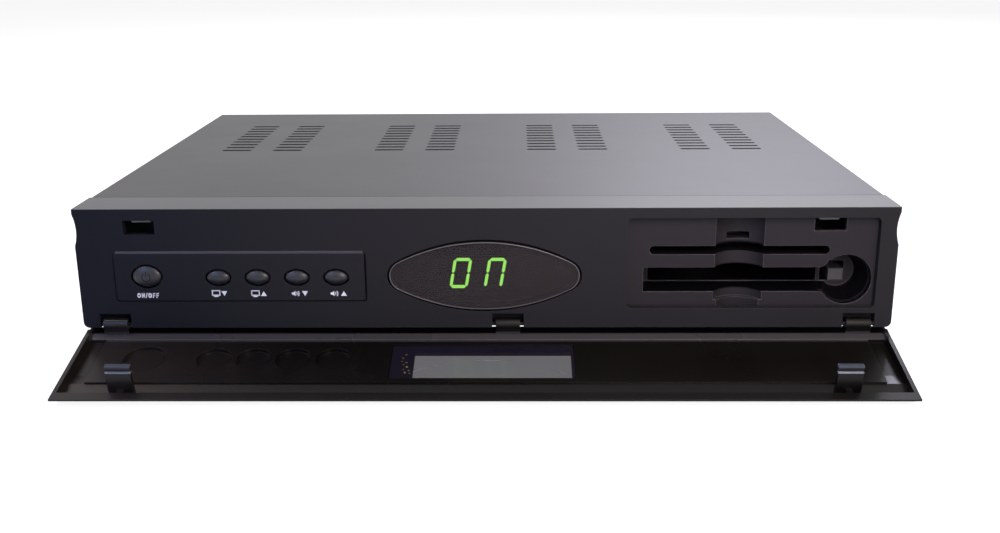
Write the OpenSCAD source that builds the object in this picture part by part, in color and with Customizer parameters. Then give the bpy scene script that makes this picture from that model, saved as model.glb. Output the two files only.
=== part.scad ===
// Compact satellite television receiver with a fold-down front flap.
// X runs left to right, Y from the front face to the back, Z up from the table.
// Every module works with Y = 0 at the front face; placed() moves it to the part's own origin.

/* [Case] */
// Width of the front moulding
body_w = 260; // [250:1:300]
// Height of the top face above the table
body_h = 52.4; // [48:0.1:60]
// Height of the underside above the table
base_z = 12.9; // [12:0.1:13.4]
// Depth of the front moulding
bezel_d = 16.6; // [16:0.1:20]
// Depth of the whole case, front face to rear face
case_d = 189.8; // [180:0.1:230]
// Front wall of the moulding
wall = 2.8; // [2.5:0.1:3.2]
// Other walls of the moulding
shell = 2.2; // [1.8:0.1:2.6]
// Steel sheet of the case
sheet = 0.8; // [0.6:0.1:1]
// Free space between parts that are fixed side by side
gap = 0.2; // [0.1:0.05:0.3]
// Radius of the lower outer corners of the moulding
corner_r = 1.9; // [1:0.1:3]

/* [Grip scallops] */
// Length of each side scallop, up and down
grip_l = 10.5; // [8:0.5:12]
// Depth of each side scallop
grip_depth = 0.9; // [0.5:0.1:1.5]
// Scallop centre below the top face
grip_drop = 6.9; // [6:0.1:9]

/* [Vents] */
// Distance between neighbouring vent columns
vent_step = 20.15; // [16:0.05:22]
// Length of one vent slot
vent_l = 11.7; // [8:0.1:14]
// Width of one vent slot
vent_w = 2.3; // [1.5:0.1:3]
// Distance between vent rows
vent_pitch = 6.24; // [5:0.01:6.5]
// Rows in a vent column
vent_rows = 10; // [3:1:12]
// Front vent row behind the front face
vent_y = 98.7; // [80:0.1:110]

/* [Flap] */
// Sides of the flap inside the sides of the moulding
flap_inset = 1; // [0.5:0.1:3]
// Free edge of the closed flap below the top face
flap_short = 0.15; // [0:0.05:1]
// Thickness of the flap over its rims
flap_t = 4.6; // [4.4:0.1:5.2]
// Thickness at the free edge
edge_t = 0.6; // [0.4:0.1:1.2]
// Length of the slope on the outer side of the free edge
bevel_l = 5.7; // [4:0.1:8]
// Wall of the flap
skin = 1.3; // [1:0.1:1.4]
// Width of the flap's side rims
rim_w = 1.3; // [1:0.1:2]
// Width of the free edge's rim
front_rim_w = 3.5; // [2.5:0.1:4]
// Raised field below the rims
field_drop = 1.9; // [1.5:0.1:2.2]
// Gutter round the field below the rims
gutter_drop = 3.2; // [2.9:0.1:3.3]
// Gap between the closed flap and the front face
flap_gap = 0.3; // [0.2:0.05:0.5]
// Depth of the hinge line behind the front face
hinge_y = 1.05; // [0.9:0.05:1.1]
// Height of the hinge line above the table
hinge_z = 13.85; // [13.8:0.05:14.1]
// Radius of the hinge knuckles
knuckle_r = 2.1; // [1.8:0.1:2.2]
// Width of a knuckle
knuckle_w = 7.8; // [6:0.1:9]
// Radius of a hinge pin
pin_r = 0.6; // [0.5:0.05:0.7]
// Running clearance of pins and pivots
run_gap = 0.05; // [0.03:0.01:0.08]
// Width of the hinge notches in the moulding
notch_w = 10.2; // [9.6:0.1:12]
// Outer hinges from the sides of the moulding
hinge_edge = 10.5; // [9:0.5:20]
// Offset of the middle hinge
mid_hinge_x = 7.4; // [0:0.1:12]
// Width of the flap's window
window_w = 57.6; // [50:0.1:62]
// Length of the flap's window
window_l = 17.8; // [14:0.1:19]

/* [Latches] */
// Latches from the sides of the moulding
latch_edge = 20.8; // [20:0.1:26]
// Width of a latch hole
latch_w = 10; // [9:0.1:11]
// Height of a latch hole
latch_h = 4.6; // [4:0.1:5]
// Latch hole's middle below the top face
latch_drop = 6; // [5.8:0.1:6.4]
// Width of a latch hook
hook_w = 7.6; // [6:0.1:8.4]
// Catch lip behind the front face
lip_y = 5.75; // [5.2:0.05:6.2]

/* [Buttons] */
// Width of the button panel
panel_w = 80; // [76:0.5:84]
// Height of the button panel
panel_h = 16.2; // [15:0.1:20]
// Button panel in front of the front face
panel_out = 0.6; // [0.3:0.1:0.7]
// Middle of the panel and buttons above the table
button_z = 30.4; // [29:0.1:31]
// Standby button from the left side
standby_edge = 22.2; // [21:0.1:25]
// Standby cap width
standby_w = 9.2; // [8:0.1:10]
// Standby cap height
standby_h = 7; // [6:0.1:8]
// Outermost small button from the left side
small_edge = 45.1; // [42:0.1:48]
// Small buttons below the standby button
small_drop = 0.4; // [0:0.1:1]
// Distance between small buttons
small_step = 12.55; // [11:0.05:13]
// Small cap width
small_w = 7.4; // [6:0.1:8]
// Small cap height
small_h = 4.7; // [4:0.1:6]
// Gap round each cap in its hole
cap_gap = 0.55; // [0.4:0.05:0.7]
// Cap crown in front of the front face
cap_out = 1.6; // [1:0.1:1.7]
// Travel of a button
press = 0.6; // [0.4:0.05:0.8]

/* [Display] */
// Width of the oval lens
lens_w = 61.2; // [54:0.1:64]
// Height of the oval lens
lens_h = 23; // [20:0.1:25]
// Height of a digit
digit_h = 10; // [8:0.1:12]
// Distance between digits
digit_step = 11.05; // [9.5:0.05:12]
// Slant of the digits in degrees
slant = 10; // [0:1:12]
// Width of a digit's strokes
stroke = 0.95; // [0.7:0.05:1.2]

/* [Card bay] */
// Recess from the right side of the moulding
bay_edge = 5.8; // [5:0.1:7]
// Width of the recess
bay_w = 79; // [78:0.1:81]
// Recess above the underside
bay_lift = 6.4; // [5.8:0.1:7]
// Recess below the top face
bay_drop = 3.4; // [3.2:0.1:3.8]
// Thickness of the insert's plate
insert_t = 2; // [1.5:0.1:2.5]
// Middle of both card slots and of the finger scoop, from the right side
card_edge = 49; // [48:0.1:50]
// Length of the chip card slot
chip_slot_w = 57; // [55:0.1:58]
// Height of the chip card slot
chip_slot_h = 2.8; // [2:0.1:3.2]
// Chip card slot above the middle of the pocket
chip_rise = 9.7; // [9.4:0.1:10.2]
// Height of the module slot's pocket
pocket_h = 8; // [7.6:0.1:8.4]
// Pocket's middle above the boards
pocket_lift = 7.8; // [7.6:0.1:8.4]
// Depth of the pocket behind the insert's face
pocket_depth = 11.5; // [9:0.1:12.5]
// Radius of the round end of the pocket
well_r = 8.2; // [7.5:0.1:8.3]
// Radius of the round end at the pocket's floor
well_floor_r = 5.6; // [5.3:0.1:6]
// Middle of the round end from the right side
well_edge = 14.8; // [14.6:0.1:15]
// Width of the module opening in the pocket's floor
module_w = 55.1; // [54.6:0.1:55.6]
// Height of the module opening
module_h = 6; // [5.6:0.1:6.4]
// Width of the finger scoop
scoop_w = 15.4; // [13:0.1:16]
// Depth of the finger scoop
scoop_depth = 5; // [4:0.1:5.5]

/* [Ejector] */
// Travel of the eject button
eject_travel = 5; // [3:0.5:6]
// Arm of the eject lever, pivot to rod
eject_arm = 18.6; // [18:0.1:20]
// Depth of the card cage
cage_d = 78; // [74:1:80]

/* [Boards] */
// Thickness of the circuit boards
pcb = 1.6; // [1.2:0.1:2]
// Height of the board standoffs
standoff_h = 5; // [4:0.5:5.5]
// Radius of the screw shanks
screw_r = 1.4; // [1.2:0.1:1.5]
// Radius of the screw heads
head_r = 2.7; // [2.5:0.1:3]

/* [Feet] */
// Feet from the sides of the moulding
foot_edge = 26; // [20:1:40]
// Front feet behind the front face
foot_y = 38; // [32:1:50]
// Radius of a foot
foot_r = 10; // [8:0.5:12]
// Rubber pad below each foot
pad_out = 1.5; // [1:0.1:2]

/* [Rear sockets] */
// Radius of an aerial connector's thread
aerial_r = 4.76; // [4.5:0.01:5]
// Length of an aerial connector behind the rear panel
aerial_l = 11; // [9:0.5:13]
// Radius of an audio or video socket's barrel
phono_r = 4.15; // [4:0.05:4.3]
// Length of that barrel behind the rear panel
phono_l = 8.5; // [7:0.5:10]

/* [Hidden] */
$fn = 48;

// Case
half_w = body_w / 2;
cover_x = half_w - 0.1;
cover_y = bezel_d + gap;
rear_y = case_d - sheet;
panel_y = rear_y - sheet;
tray_x = cover_x - sheet - gap / 4;
tray_y = bezel_d + gap;
floor_z = base_z + sheet;
tongue_l = 4.4;
tongue_t = 1.2;
tongue_gap = 0.2;
side_h = 10;
lip_h = 5.2;
front_flange_h = 7;

// Boards
board_z = floor_z + standoff_h;
board_top = board_z + pcb;
main_x0 = -half_w + 66;
main_x1 = half_w - 8;
main_y0 = 23;
main_y1 = panel_y - 4;
psu_x0 = -half_w + 6;
psu_x1 = psu_x0 + 54;
psu_y0 = main_y1 - 124.2;
main_holes = [[main_x0 + 5, main_y0 + 6], [main_x1 - 5, main_y0 + 6],
    [main_x0 + 5, main_y1 - 24], [main_x1 - 5, main_y1 - 52]];
psu_holes = [[psu_x0 + 5, psu_y0 + 5], [psu_x1 - 5, psu_y0 + 5],
    [psu_x0 + 5, main_y1 - 28], [psu_x1 - 5, main_y1 - 28]];
board_holes = concat(main_holes, psu_holes);
screw_gap = 0.2;
head_h = 1.8;
standoff_r = 2.6;

// Flap, in its own frame: the hinge line is the origin, y = -s points to the free edge
flap_w = body_w - 2 * flap_inset;
flap_l = body_h - hinge_z - flap_short;
hinge_x = half_w - hinge_edge;
rim_z = -(hinge_y + flap_gap);
field_z = rim_z - field_drop;
gutter_z = rim_z - gutter_drop;
outer_z = rim_z - flap_t;
heel = flap_l - bevel_l;
tilt = asin(hinge_z / norm([heel, outer_z])) - atan(-outer_z / heel);
flap_front = hinge_y - flap_l * cos(tilt) - rim_z * sin(tilt);
slope = (flap_t - edge_t) / bevel_l;
skin_rise = skin * sqrt(1 + slope * slope);
rim_s = flap_l - front_rim_w;
rim_start = 1.2;
strip_z = rim_z - 1;
strip_s = 4.4;
strip_fall = 0.8;
strip_back = 1.8;
field_s0 = strip_s;
field_s1 = flap_l - 11.2;
gutter_rise = 0.7;
field_inset = 6.8;
pocket_s = button_z - hinge_z - 1.5;
window_x = -0.45;
window_s = 7.4;
window_t = 1.2;
ledge = 2.2;
ledge_right = 1;
ledge_left = 7.2;
notch_h = 4.7;
notch_depth = hinge_y + knuckle_r + 0.7;

// Latches
latch_x = half_w - latch_edge;
latch_z = body_h - latch_drop;
hook_x = latch_x - 0.4;
hook_out_r = latch_z + latch_h / 2 - hinge_z - 1.6;
hook_t = 1.6;
hook_neck = 0.8;
hook_top = 6.4;
lip_t = 0.7;
lip_room = 0.27;
catch_t = 1;
catch_w = 6.2;
catch_gap = 0.35;
catch_y = [wall + gap, wall + insert_t + gap];

// Buttons and display
button_xs = [-half_w + standby_edge, for (i = [0:3]) -half_w + small_edge + i * small_step];
button_zs = [button_z, for (i = [0:3]) button_z - small_drop];
panel_x0 = -half_w + 12;
panel_z1 = button_z + panel_h / 2;
panel_groove = 0.3;
button_flange = 0.9;
button_back = wall + 0.3;
crown = 1.3;
board_y = 11.4;
tact_h = 3.5;
plunger_h = 1.4;
stem_end = board_y - tact_h - plunger_h - press - 0.05;
lens_z = button_z - 0.1;
lens_out = 0.5;
lens_ledge = 1.2;
digit_w = 5.9;
digit_x0 = -18.7;
display_y = 3.3;
segment_t = 0.3;
display_w = 48;
display_box_h = 16;
display_face_w = 41.6;
display_face_h = 11.2;
front_board_x0 = -half_w + 7;
front_board_x1 = half_w - bay_edge - bay_w - 6.2;
front_board_z0 = base_z + 6.7;
front_board_z1 = latch_z - latch_h / 2 + 1;

// Card bay
bay_x = half_w - bay_edge - bay_w;
card_x = half_w - card_edge;
well_x = half_w - well_edge;
bay_z1 = body_h - bay_drop;
bay_z0 = base_z + bay_lift;
bay_h = bay_z1 - bay_z0;
bay_y = wall;
bay_lap = 1;
pocket_z = board_top + pocket_lift;
chip_z = pocket_z + chip_rise;
pocket_x0 = card_x - 30.3;
pocket_floor = bay_y + pocket_depth;
tub_t = 1.5;
scoop_r = (pow(scoop_w / 2, 2) + pow(scoop_depth, 2)) / (2 * scoop_depth);
module_z0 = pocket_z - pocket_h / 2 + 0.1;
eject_hole_w = 7.8;
eject_hole_h = 6.7;
eject_hole_x0 = well_x - 5.4;
eject_hole_z0 = pocket_z - 3.8;

// Card cage and ejector
cage_y0 = pocket_floor + tub_t + gap;
cage_y1 = cage_y0 + cage_d;
cage_t = 0.4;
cage_x0 = card_x - module_w / 2 - 0.1;
cage_x1 = card_x + module_w / 2 + 0.1;
cage_z0 = module_z0 - 0.2;
cage_z1 = module_z0 + module_h + 0.2;
lever_y = cage_y1 - 12;
rod_x = well_x + 0.9;
lever_x = rod_x - eject_arm;
lever_z = cage_z1 + cage_t + 0.4;
lever_t = 0.8;
tab_r = 1;
tab_gap = 0.3;
pivot_r = 1.2;
pusher_x = lever_x - eject_arm;

// Rear sockets
inlet_x = psu_x0 + 16;
switch_x = psu_x0 + 41;
phono_x0 = main_x0 + 8;
phono_step = 14;
phonos = 4;
phono_ring = 0.6;
phono_ring_l = 1;
scart_x = main_x1 - 60;
aerial_xs = [main_x1 - 24, main_x1 - 7];
socket_z = base_z + 15;
switch_z = board_top + 11;
phono_z = board_top + 8.2;
scart_w = 46;
scart_h = 12.6;
scart_out = 2;
scart_z0 = board_top + 0.4;
scart_step = 13;
serial_x = (phono_x0 + (phonos - 1) * phono_step + 5.5 + scart_x - scart_w / 2) / 2;
rear_screw_x = cover_x - 11.9;
rear_most = rear_y + aerial_l;

foot_x = half_w - foot_edge;
foot_ys = [foot_y, case_d - 26];
shift_y = -(rear_most + flap_front) / 2;

// Moves the working frame to the middle of the object's footprint
module placed() {
    translate([0, shift_y, 0]) children();
}

// Box given by its two corners
module box(low, high) {
    translate(low) cube(high - low);
}

// Upright round bar
module post(x, y, z0, z1, r) {
    translate([x, y, z0]) cylinder(h = z1 - z0, r = r);
}

// Round bar along Y
module rod_y(x, z, y0, y1, r) {
    translate([x, y0, z]) rotate([-90, 0, 0]) cylinder(h = y1 - y0, r = r);
}

// Flat outline in X and Z, pushed back along Y
module along_y(y0, y1) {
    translate([0, y1, 0]) rotate([90, 0, 0]) linear_extrude(height = y1 - y0) children();
}

// Flat outline in Y and Z, pushed along X
module along_x(x0, x1) {
    translate([x0, 0, 0]) rotate([90, 0, 90]) linear_extrude(height = x1 - x0) children();
}

// Rectangle with round corners, middle at the origin
module round_rect(w, h, r) {
    square([w - 2 * r, h], center = true);
    square([w, h - 2 * r], center = true);
    for (sx = [-1, 1], sz = [-1, 1])
        translate([sx * (w / 2 - r), sz * (h / 2 - r)]) circle(r = r);
}

// Slot with half-round ends, middle at the origin
module slot2d(l, w) {
    square([l - w, w], center = true);
    for (s = [-1, 1]) translate([s * (l - w) / 2, 0]) circle(r = w / 2);
}

// Four-arc oval of full width w and full height h
module oval(w, h, end_share = 0.52) {
    a = w / 2;
    b = h / 2;
    r1 = b * end_share;
    r2 = (pow(a - r1, 2) + b * b - r1 * r1) / (2 * (b - r1));
    tangent = r2 * (a - r1) / (r2 - r1);
    for (s = [-1, 1]) translate([s * (a - r1), 0]) circle(r = r1);
    intersection() {
        translate([0, b - r2]) circle(r = r2, $fn = 180);
        translate([0, r2 - b]) circle(r = r2, $fn = 180);
        square([2 * tangent, h], center = true);
    }
}

// The lens's four-arc oval as one outline of short chords
module lens_oval(w, h, end_share = 0.45, n = 16) {
    a = w / 2;
    b = h / 2;
    r1 = b * end_share;
    r2 = (pow(a - r1, 2) + b * b - r1 * r1) / (2 * (b - r1));
    turn = acos((a - r1) / (r2 - r1));
    side = [for (i = [0:n]) let (f = 90 - (90 - turn) * i / n) [r2 * cos(f), b - r2 + r2 * sin(f)]];
    end = [for (i = [1:n]) let (f = turn * (1 - i / n)) [a - r1 + r1 * cos(f), r1 * sin(f)]];
    quarter = concat(side, end);
    m = len(quarter);
    half = concat(quarter, [for (i = [m - 2:-1:0]) [quarter[i][0], -quarter[i][1]]]);
    k = len(half);
    polygon(concat(half, [for (i = [k - 2:-1:1]) [-half[i][0], half[i][1]]]));
}

// Pan-head screw, shank up along +Z from the head's underside at the origin
module screw(l) {
    cylinder(h = l, r = screw_r);
    difference() {
        translate([0, 0, -head_h]) cylinder(h = head_h, r = head_r);
        for (a = [0, 90]) rotate([0, 0, a])
            translate([-head_r * 0.6, -0.35, -head_h - 1]) cube([head_r * 1.2, 0.7, 1.9]);
    }
}

// Positions of the cover's side screws
module at_side_screws() {
    for (s = [-1, 1], y = [cover_y + 24, rear_y - 30])
        translate([s * cover_x, y, floor_z + side_h - 4]) rotate([0, -s * 90, 0]) children();
}

// Positions of the cover's rear screws
module at_rear_screws() {
    for (x = [-rear_screw_x, -20, rear_screw_x])
        translate([x, case_d, body_h - sheet - lip_h / 2]) rotate([90, 0, 0]) children();
}

// ---- Case ----

module chassis_base() {
    color("silver") placed() difference() {
        union() {
            box([-tray_x, tray_y, base_z], [tray_x, panel_y - gap, floor_z]);
            for (s = [-1, 1]) {
                x0 = s > 0 ? tray_x - sheet : -tray_x;
                box([x0, tray_y + tongue_l + gap, base_z], [x0 + sheet, panel_y - gap, floor_z + side_h]);
            }
            box([-tray_x + 3, tray_y, base_z], [tray_x - 3, tray_y + sheet, floor_z + front_flange_h]);
        }
        for (s = [-1, 1], y = foot_ys) post(s * foot_x, y, base_z - 1, floor_z + 1, screw_r + screw_gap / 4);
        for (p = board_holes) post(p[0], p[1], base_z - 1, floor_z + 1, screw_r + screw_gap);
        at_side_screws() translate([0, 0, -1]) cylinder(h = 4, r = screw_r + screw_gap / 4);
        for (y = [70:8:118], s = [-1, 1]) translate([s * 30, y, base_z - 1])
            linear_extrude(height = sheet + 2) slot2d(36, 2.4);
        for (x = [-100, 0, 90]) along_x(x, x + 14)
            translate([tray_y - 1, floor_z + 2]) square([sheet + 2, front_flange_h]);
    }
}

module rear_panel() {
    top = body_h - sheet - gap;
    color("silver") placed() difference() {
        union() {
            box([-tray_x, panel_y, floor_z + gap / 2], [tray_x, rear_y, top]);
            for (x = [-100, -8, 34, 88])
                box([x, panel_y - 6, floor_z + gap / 2], [x + 10, panel_y, floor_z + gap / 2 + sheet]);
            for (s = [-1, 1]) {
                x0 = s > 0 ? tray_x - sheet - gap / 2 - sheet : -(tray_x - sheet - gap / 2);
                box([x0, panel_y - 9, floor_z + gap / 2], [x0 + sheet, panel_y, floor_z + side_h]);
            }
        }
        along_y(panel_y - 1, rear_y + 1) {
            translate([inlet_x, socket_z]) square([19.6, 11.6], center = true);
            translate([switch_x, switch_z]) square([13.4, 19.4], center = true);
            for (i = [0:phonos - 1])
                translate([phono_x0 + i * phono_step, phono_z]) circle(r = phono_r + phono_ring + gap);
            translate([serial_x, phono_z]) square([19.6, 11.4], center = true);
            for (s = [-1, 1]) translate([serial_x + s * 12.5, phono_z]) circle(r = 2.3);
            for (i = [0, 1]) translate([scart_x, scart_z0 + scart_h / 2 + i * scart_step])
                square([scart_w + 2 * gap, scart_h + 2 * gap], center = true);
            for (x = aerial_xs) translate([x, socket_z + 2]) circle(r = aerial_r + gap);
            for (i = [0:6]) translate([phono_x0 - 2 + i * 7, body_h - 11.5]) rotate(90) slot2d(6, 2.2);
        }
        at_rear_screws() translate([0, 0, -1]) cylinder(h = 6, r = screw_r + screw_gap / 4);
    }
}

// Outer and inner outlines of the folded cover
module cover_profile() {
    w = 2 * cover_x;
    bend = 0.9;
    difference() {
        translate([0, (base_z + body_h) / 2 - 5]) round_rect(w, body_h - base_z + 10, bend);
        translate([0, (base_z + body_h) / 2 - 5 - sheet])
            round_rect(w - 2 * sheet, body_h - base_z + 10, bend - 0.6);
        translate([-w, base_z - 30]) square([2 * w, 30]);
    }
}

module top_cover() {
    columns = [-5, -4, -2, -1, 1, 2, 4, 5];
    color([0.2, 0.2, 0.22]) placed() difference() {
        union() {
            along_y(cover_y, case_d) cover_profile();
            box([-cover_x + 1, rear_y, body_h - sheet - lip_h], [cover_x - 1, case_d, body_h - sheet / 2]);
        }
        for (c = columns, r = [0:vent_rows - 1])
            translate([c * vent_step, vent_y + r * vent_pitch, body_h - sheet - 1])
                linear_extrude(height = sheet + 2) slot2d(vent_l, vent_w);
        at_side_screws() translate([0, 0, -1]) cylinder(h = 3, r = screw_r + screw_gap);
        at_rear_screws() translate([0, 0, -1]) cylinder(h = 3, r = screw_r + screw_gap);
    }
}

// ---- Front moulding ----

// Outline of the moulding: crisp at the top, round at the bottom, scalloped at the sides
module bezel_outline() {
    scallop_r = (pow(grip_l / 2, 2) + pow(grip_depth, 2)) / (2 * grip_depth);
    difference() {
        union() {
            translate([-half_w, base_z + corner_r]) square([body_w, body_h - base_z - corner_r]);
            translate([-half_w + corner_r, base_z]) square([body_w - 2 * corner_r, corner_r + 1]);
            for (s = [-1, 1]) translate([s * (half_w - corner_r), base_z + corner_r]) circle(r = corner_r);
        }
        for (s = [-1, 1]) translate([s * (half_w - grip_depth + scallop_r), body_h - grip_drop])
            circle(r = scallop_r, $fn = 90);
    }
}

// Hinge notches, seen from the front
module at_hinges() {
    for (x = [-hinge_x, mid_hinge_x, hinge_x]) translate([x, 0, 0]) children();
}

// Hole outline of button i, enlarged by g all round
module button_outline(i, g) {
    if (i == 0) oval(standby_w + 2 * g, standby_h + 2 * g, 0.7);
    if (i > 0) oval(small_w + 2 * g, small_h + 2 * g, 0.7);
}

module front_bezel() {
    color([0.12, 0.12, 0.14]) placed() difference() {
        union() {
            difference() {
                along_y(0, bezel_d) bezel_outline();
                box([-half_w + shell, wall, base_z + shell], [half_w - shell, bezel_d + 1, body_h - shell]);
            }
            // tongue that reaches under the cover
            difference() {
                box([-cover_x + sheet + tongue_gap, bezel_d - 2, floor_z + side_h],
                    [cover_x - sheet - tongue_gap, bezel_d + tongue_l, body_h - sheet - tongue_gap]);
                box([-cover_x + sheet + tongue_gap + tongue_t, bezel_d - 3, base_z],
                    [cover_x - sheet - tongue_gap - tongue_t, bezel_d + tongue_l + 1,
                        body_h - sheet - tongue_gap - tongue_t]);
            }
            // housings behind the hinge notches
            at_hinges() box([-notch_w / 2 - 1.4, wall - 0.1, base_z + 0.1],
                [notch_w / 2 + 1.4, notch_depth + 1.3, base_z + notch_h + 0.6]);
            // raised button panel
            translate([panel_x0 + panel_w / 2, 0, button_z]) along_y(-panel_out, 0.1)
                round_rect(panel_w, panel_h, 1.5);
            // rim behind the lens
            translate([0, 0, lens_z]) along_y(wall - 0.1, wall + 0.9) lens_oval(lens_w + 3, lens_h + 3);
            // bosses that carry the front board
            for (x = [front_board_x0 + 4, front_board_x1 - 4], z = [front_board_z0 + 3, front_board_z1 - 3])
                rod_y(x, z, wall - 0.1, board_y, 2.4);
        }
        // groove along the sides and lower edge of the button panel
        translate([panel_x0 + panel_w / 2, 0, button_z]) along_y(-0.1, panel_groove) difference() {
            round_rect(panel_w + 2 * panel_groove, panel_h + 2 * panel_groove, 1.5 + panel_groove);
            round_rect(panel_w, panel_h, 1.5);
            translate([-panel_w, panel_h / 2 - 2]) square([2 * panel_w, 4]);
        }
        // sloped upper edge of the button panel, and its holes
        along_x(panel_x0 - 1, panel_x0 + panel_w + 1) polygon([[0, panel_z1], [-panel_out, panel_z1 - panel_out],
            [-panel_out - 1, panel_z1 - panel_out], [-panel_out - 1, panel_z1 + 1], [0, panel_z1 + 1]]);
        for (i = [0:4]) translate([button_xs[i], 0, button_zs[i]])
            along_y(-1, wall + 1) button_outline(i, cap_gap);
        // lens seat and the opening behind it
        translate([0, 0, lens_z]) {
            along_y(-1, wall - 1.2) lens_oval(lens_w + 0.8, lens_h + 0.8);
            along_y(-1, wall + 2) lens_oval(lens_w - 2 * lens_ledge, lens_h - 2 * lens_ledge);
        }
        // card bay opening
        translate([bay_x + bay_w / 2, 0, (bay_z0 + bay_z1) / 2]) along_y(-1, wall + 1)
            round_rect(bay_w, bay_h, 1.6);
        // left latch hole
        translate([-latch_x, 0, latch_z]) along_y(-1, wall + 1) square([latch_w, latch_h], center = true);
        // hinge notches and pin bores
        at_hinges() {
            box([-notch_w / 2, -1, base_z - 1], [notch_w / 2, notch_depth, base_z + notch_h]);
            translate([-8, hinge_y, hinge_z]) rotate([0, 90, 0]) cylinder(h = 16, r = pin_r + 0.03);
        }
        for (x = [front_board_x0 + 4, front_board_x1 - 4], z = [front_board_z0 + 3, front_board_z1 - 3])
            rod_y(x, z, wall + 2, board_y + 1, screw_r + screw_gap / 4);
    }
}

// ---- Card bay insert ----

// Keyhole outline of the pocket: slot with a round end that blends into it
module keyhole(g = 0) {
    translate([pocket_x0 - g, pocket_z - pocket_h / 2 - g])
        square([well_x - pocket_x0 + g, pocket_h + 2 * g]);
    translate([well_x, pocket_z]) circle(r = well_r + g);
    neck = 3.2;
    shoulder = sqrt(pow(well_r + neck, 2) - pow(pocket_h / 2 + neck, 2));
    if (g == 0) difference() {
        translate([well_x - shoulder, pocket_z - well_r]) square([shoulder, 2 * well_r]);
        for (s = [-1, 1])
            translate([well_x - shoulder, pocket_z + s * (pocket_h / 2 + neck)]) circle(r = neck);
        for (s = [-1, 1]) translate([well_x - shoulder, pocket_z + s * (pocket_h / 2 + neck + 5)])
            square([2 * shoulder, 2 * (neck + 5) - 4.9], center = true);
    }
}

module card_bay() {
    x0 = bay_x - bay_lap;
    x1 = bay_x + bay_w + bay_lap;
    back = bay_y + insert_t;
    scoop_y = bay_y + scoop_depth - scoop_r;
    color([0.16, 0.15, 0.17]) placed() difference() {
        union() {
            box([x0, bay_y, bay_z0 - bay_lap], [x1, back, bay_z1 + bay_lap]);
            // tub round the pocket
            along_y(back - 0.1, pocket_floor + tub_t) intersection() {
                keyhole(tub_t);
                translate([x0, bay_z0 - bay_lap]) square([x1 - x0, bay_h + 2 * bay_lap]);
            }
            // wall behind the finger scoop
            intersection() {
                post(card_x, scoop_y, bay_z0 - bay_lap, bay_z1 + bay_lap, scoop_r + tub_t);
                box([x0, back - 0.1, bay_z0 - bay_lap], [x1, back + 20, bay_z1 + bay_lap]);
            }
            // collar that guides the chip card
            translate([card_x, 0, chip_z]) along_y(back - 0.1, pocket_floor + tub_t)
                slot2d(chip_slot_w + 3, chip_slot_h + 3);
        }
        // chip card slot
        translate([card_x, 0, chip_z]) along_y(bay_y - 1, pocket_floor + tub_t + 1)
            slot2d(chip_slot_w, chip_slot_h);
        // pocket with its tapering round end
        along_y(bay_y - 1, bay_y + 2.2) keyhole();
        box([pocket_x0, bay_y - 1, pocket_z - pocket_h / 2], [well_x, pocket_floor, pocket_z + pocket_h / 2]);
        translate([well_x, bay_y, pocket_z]) rotate([-90, 0, 0])
            cylinder(h = pocket_depth, r1 = well_r, r2 = well_floor_r);
        // module opening and eject hole in the floor
        box([card_x - module_w / 2, pocket_floor - 1, module_z0],
            [card_x + module_w / 2, pocket_floor + tub_t + 1, module_z0 + module_h]);
        box([eject_hole_x0, pocket_floor - 1, eject_hole_z0],
            [eject_hole_x0 + eject_hole_w, pocket_floor + tub_t + 1, eject_hole_z0 + eject_hole_h]);
        // finger scoop, shallower below the pocket
        intersection() {
            post(card_x, scoop_y, bay_z0 + 2, bay_z1 + bay_lap + 1, scoop_r);
            box([x0, bay_y - 1, bay_z0 - 2], [x1, bay_y + scoop_depth + 1, bay_z1 + bay_lap + 1]);
        }
        intersection() {
            post(card_x, scoop_y - 1.6, bay_z0 - 2, bay_z0 + 2.1, scoop_r);
            box([x0, bay_y - 1, bay_z0 - 2], [x1, bay_y + scoop_depth, bay_z1]);
        }
        // small window near the top of the scoop
        box([card_x - 3.65, bay_y, chip_z + 2.7], [card_x + 3.65, bay_y + 12, chip_z + 5]);
        // right latch hole
        translate([latch_x, 0, latch_z]) along_y(bay_y - 1, back + 1)
            square([latch_w, latch_h], center = true);
    }
}

module latch_catches() {
    color([0.35, 0.35, 0.38]) placed() for (i = [0, 1]) {
        x = (2 * i - 1) * latch_x;
        for (span = [[catch_y[i], catch_y[i] + catch_t], [lip_y, lip_y + lip_t]]) {
            swing = sqrt(pow(hook_out_r, 2) - pow(span[0] - hinge_y, 2));
            box([x - catch_w / 2, span[0], hinge_z + swing + catch_gap],
                [x + catch_w / 2, span[1], body_h - shell]);
        }
        box([x - catch_w / 2 - 2, catch_y[i], latch_z + latch_h / 2 + 0.3],
            [x + catch_w / 2 + 2, lip_y + 2.5, body_h - shell]);
    }
}

// ---- Display ----

module display_lens() {
    color([0.1, 0.09, 0.1, 0.6]) placed() translate([0, 0, lens_z]) {
        along_y(0.1, wall - 1.2) lens_oval(lens_w, lens_h);
        along_y(-0.25, 0.2) lens_oval(lens_w - 0.5, lens_h - 0.5);
        along_y(-lens_out, -0.2) lens_oval(lens_w - 1.1, lens_h - 1.1);
    }
}

module display_module() {
    x = digit_x0 + 1.5 * digit_step;
    color([0.1, 0.1, 0.1]) placed() {
        box([x - display_w / 2, wall + 0.9 + gap, lens_z - display_box_h / 2],
            [x + display_w / 2, board_y, lens_z + display_box_h / 2]);
        box([x - display_face_w / 2, display_y, lens_z - display_face_h / 2],
            [x + display_face_w / 2, wall + 2, lens_z + display_face_h / 2]);
    }
}

// One bar of a digit, pointed at both ends
module bar2d(l) {
    t = stroke / 2;
    polygon([[-l / 2, 0], [-l / 2 + t, t], [l / 2 - t, t], [l / 2, 0], [l / 2 - t, -t], [-l / 2 + t, -t]]);
}

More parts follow.
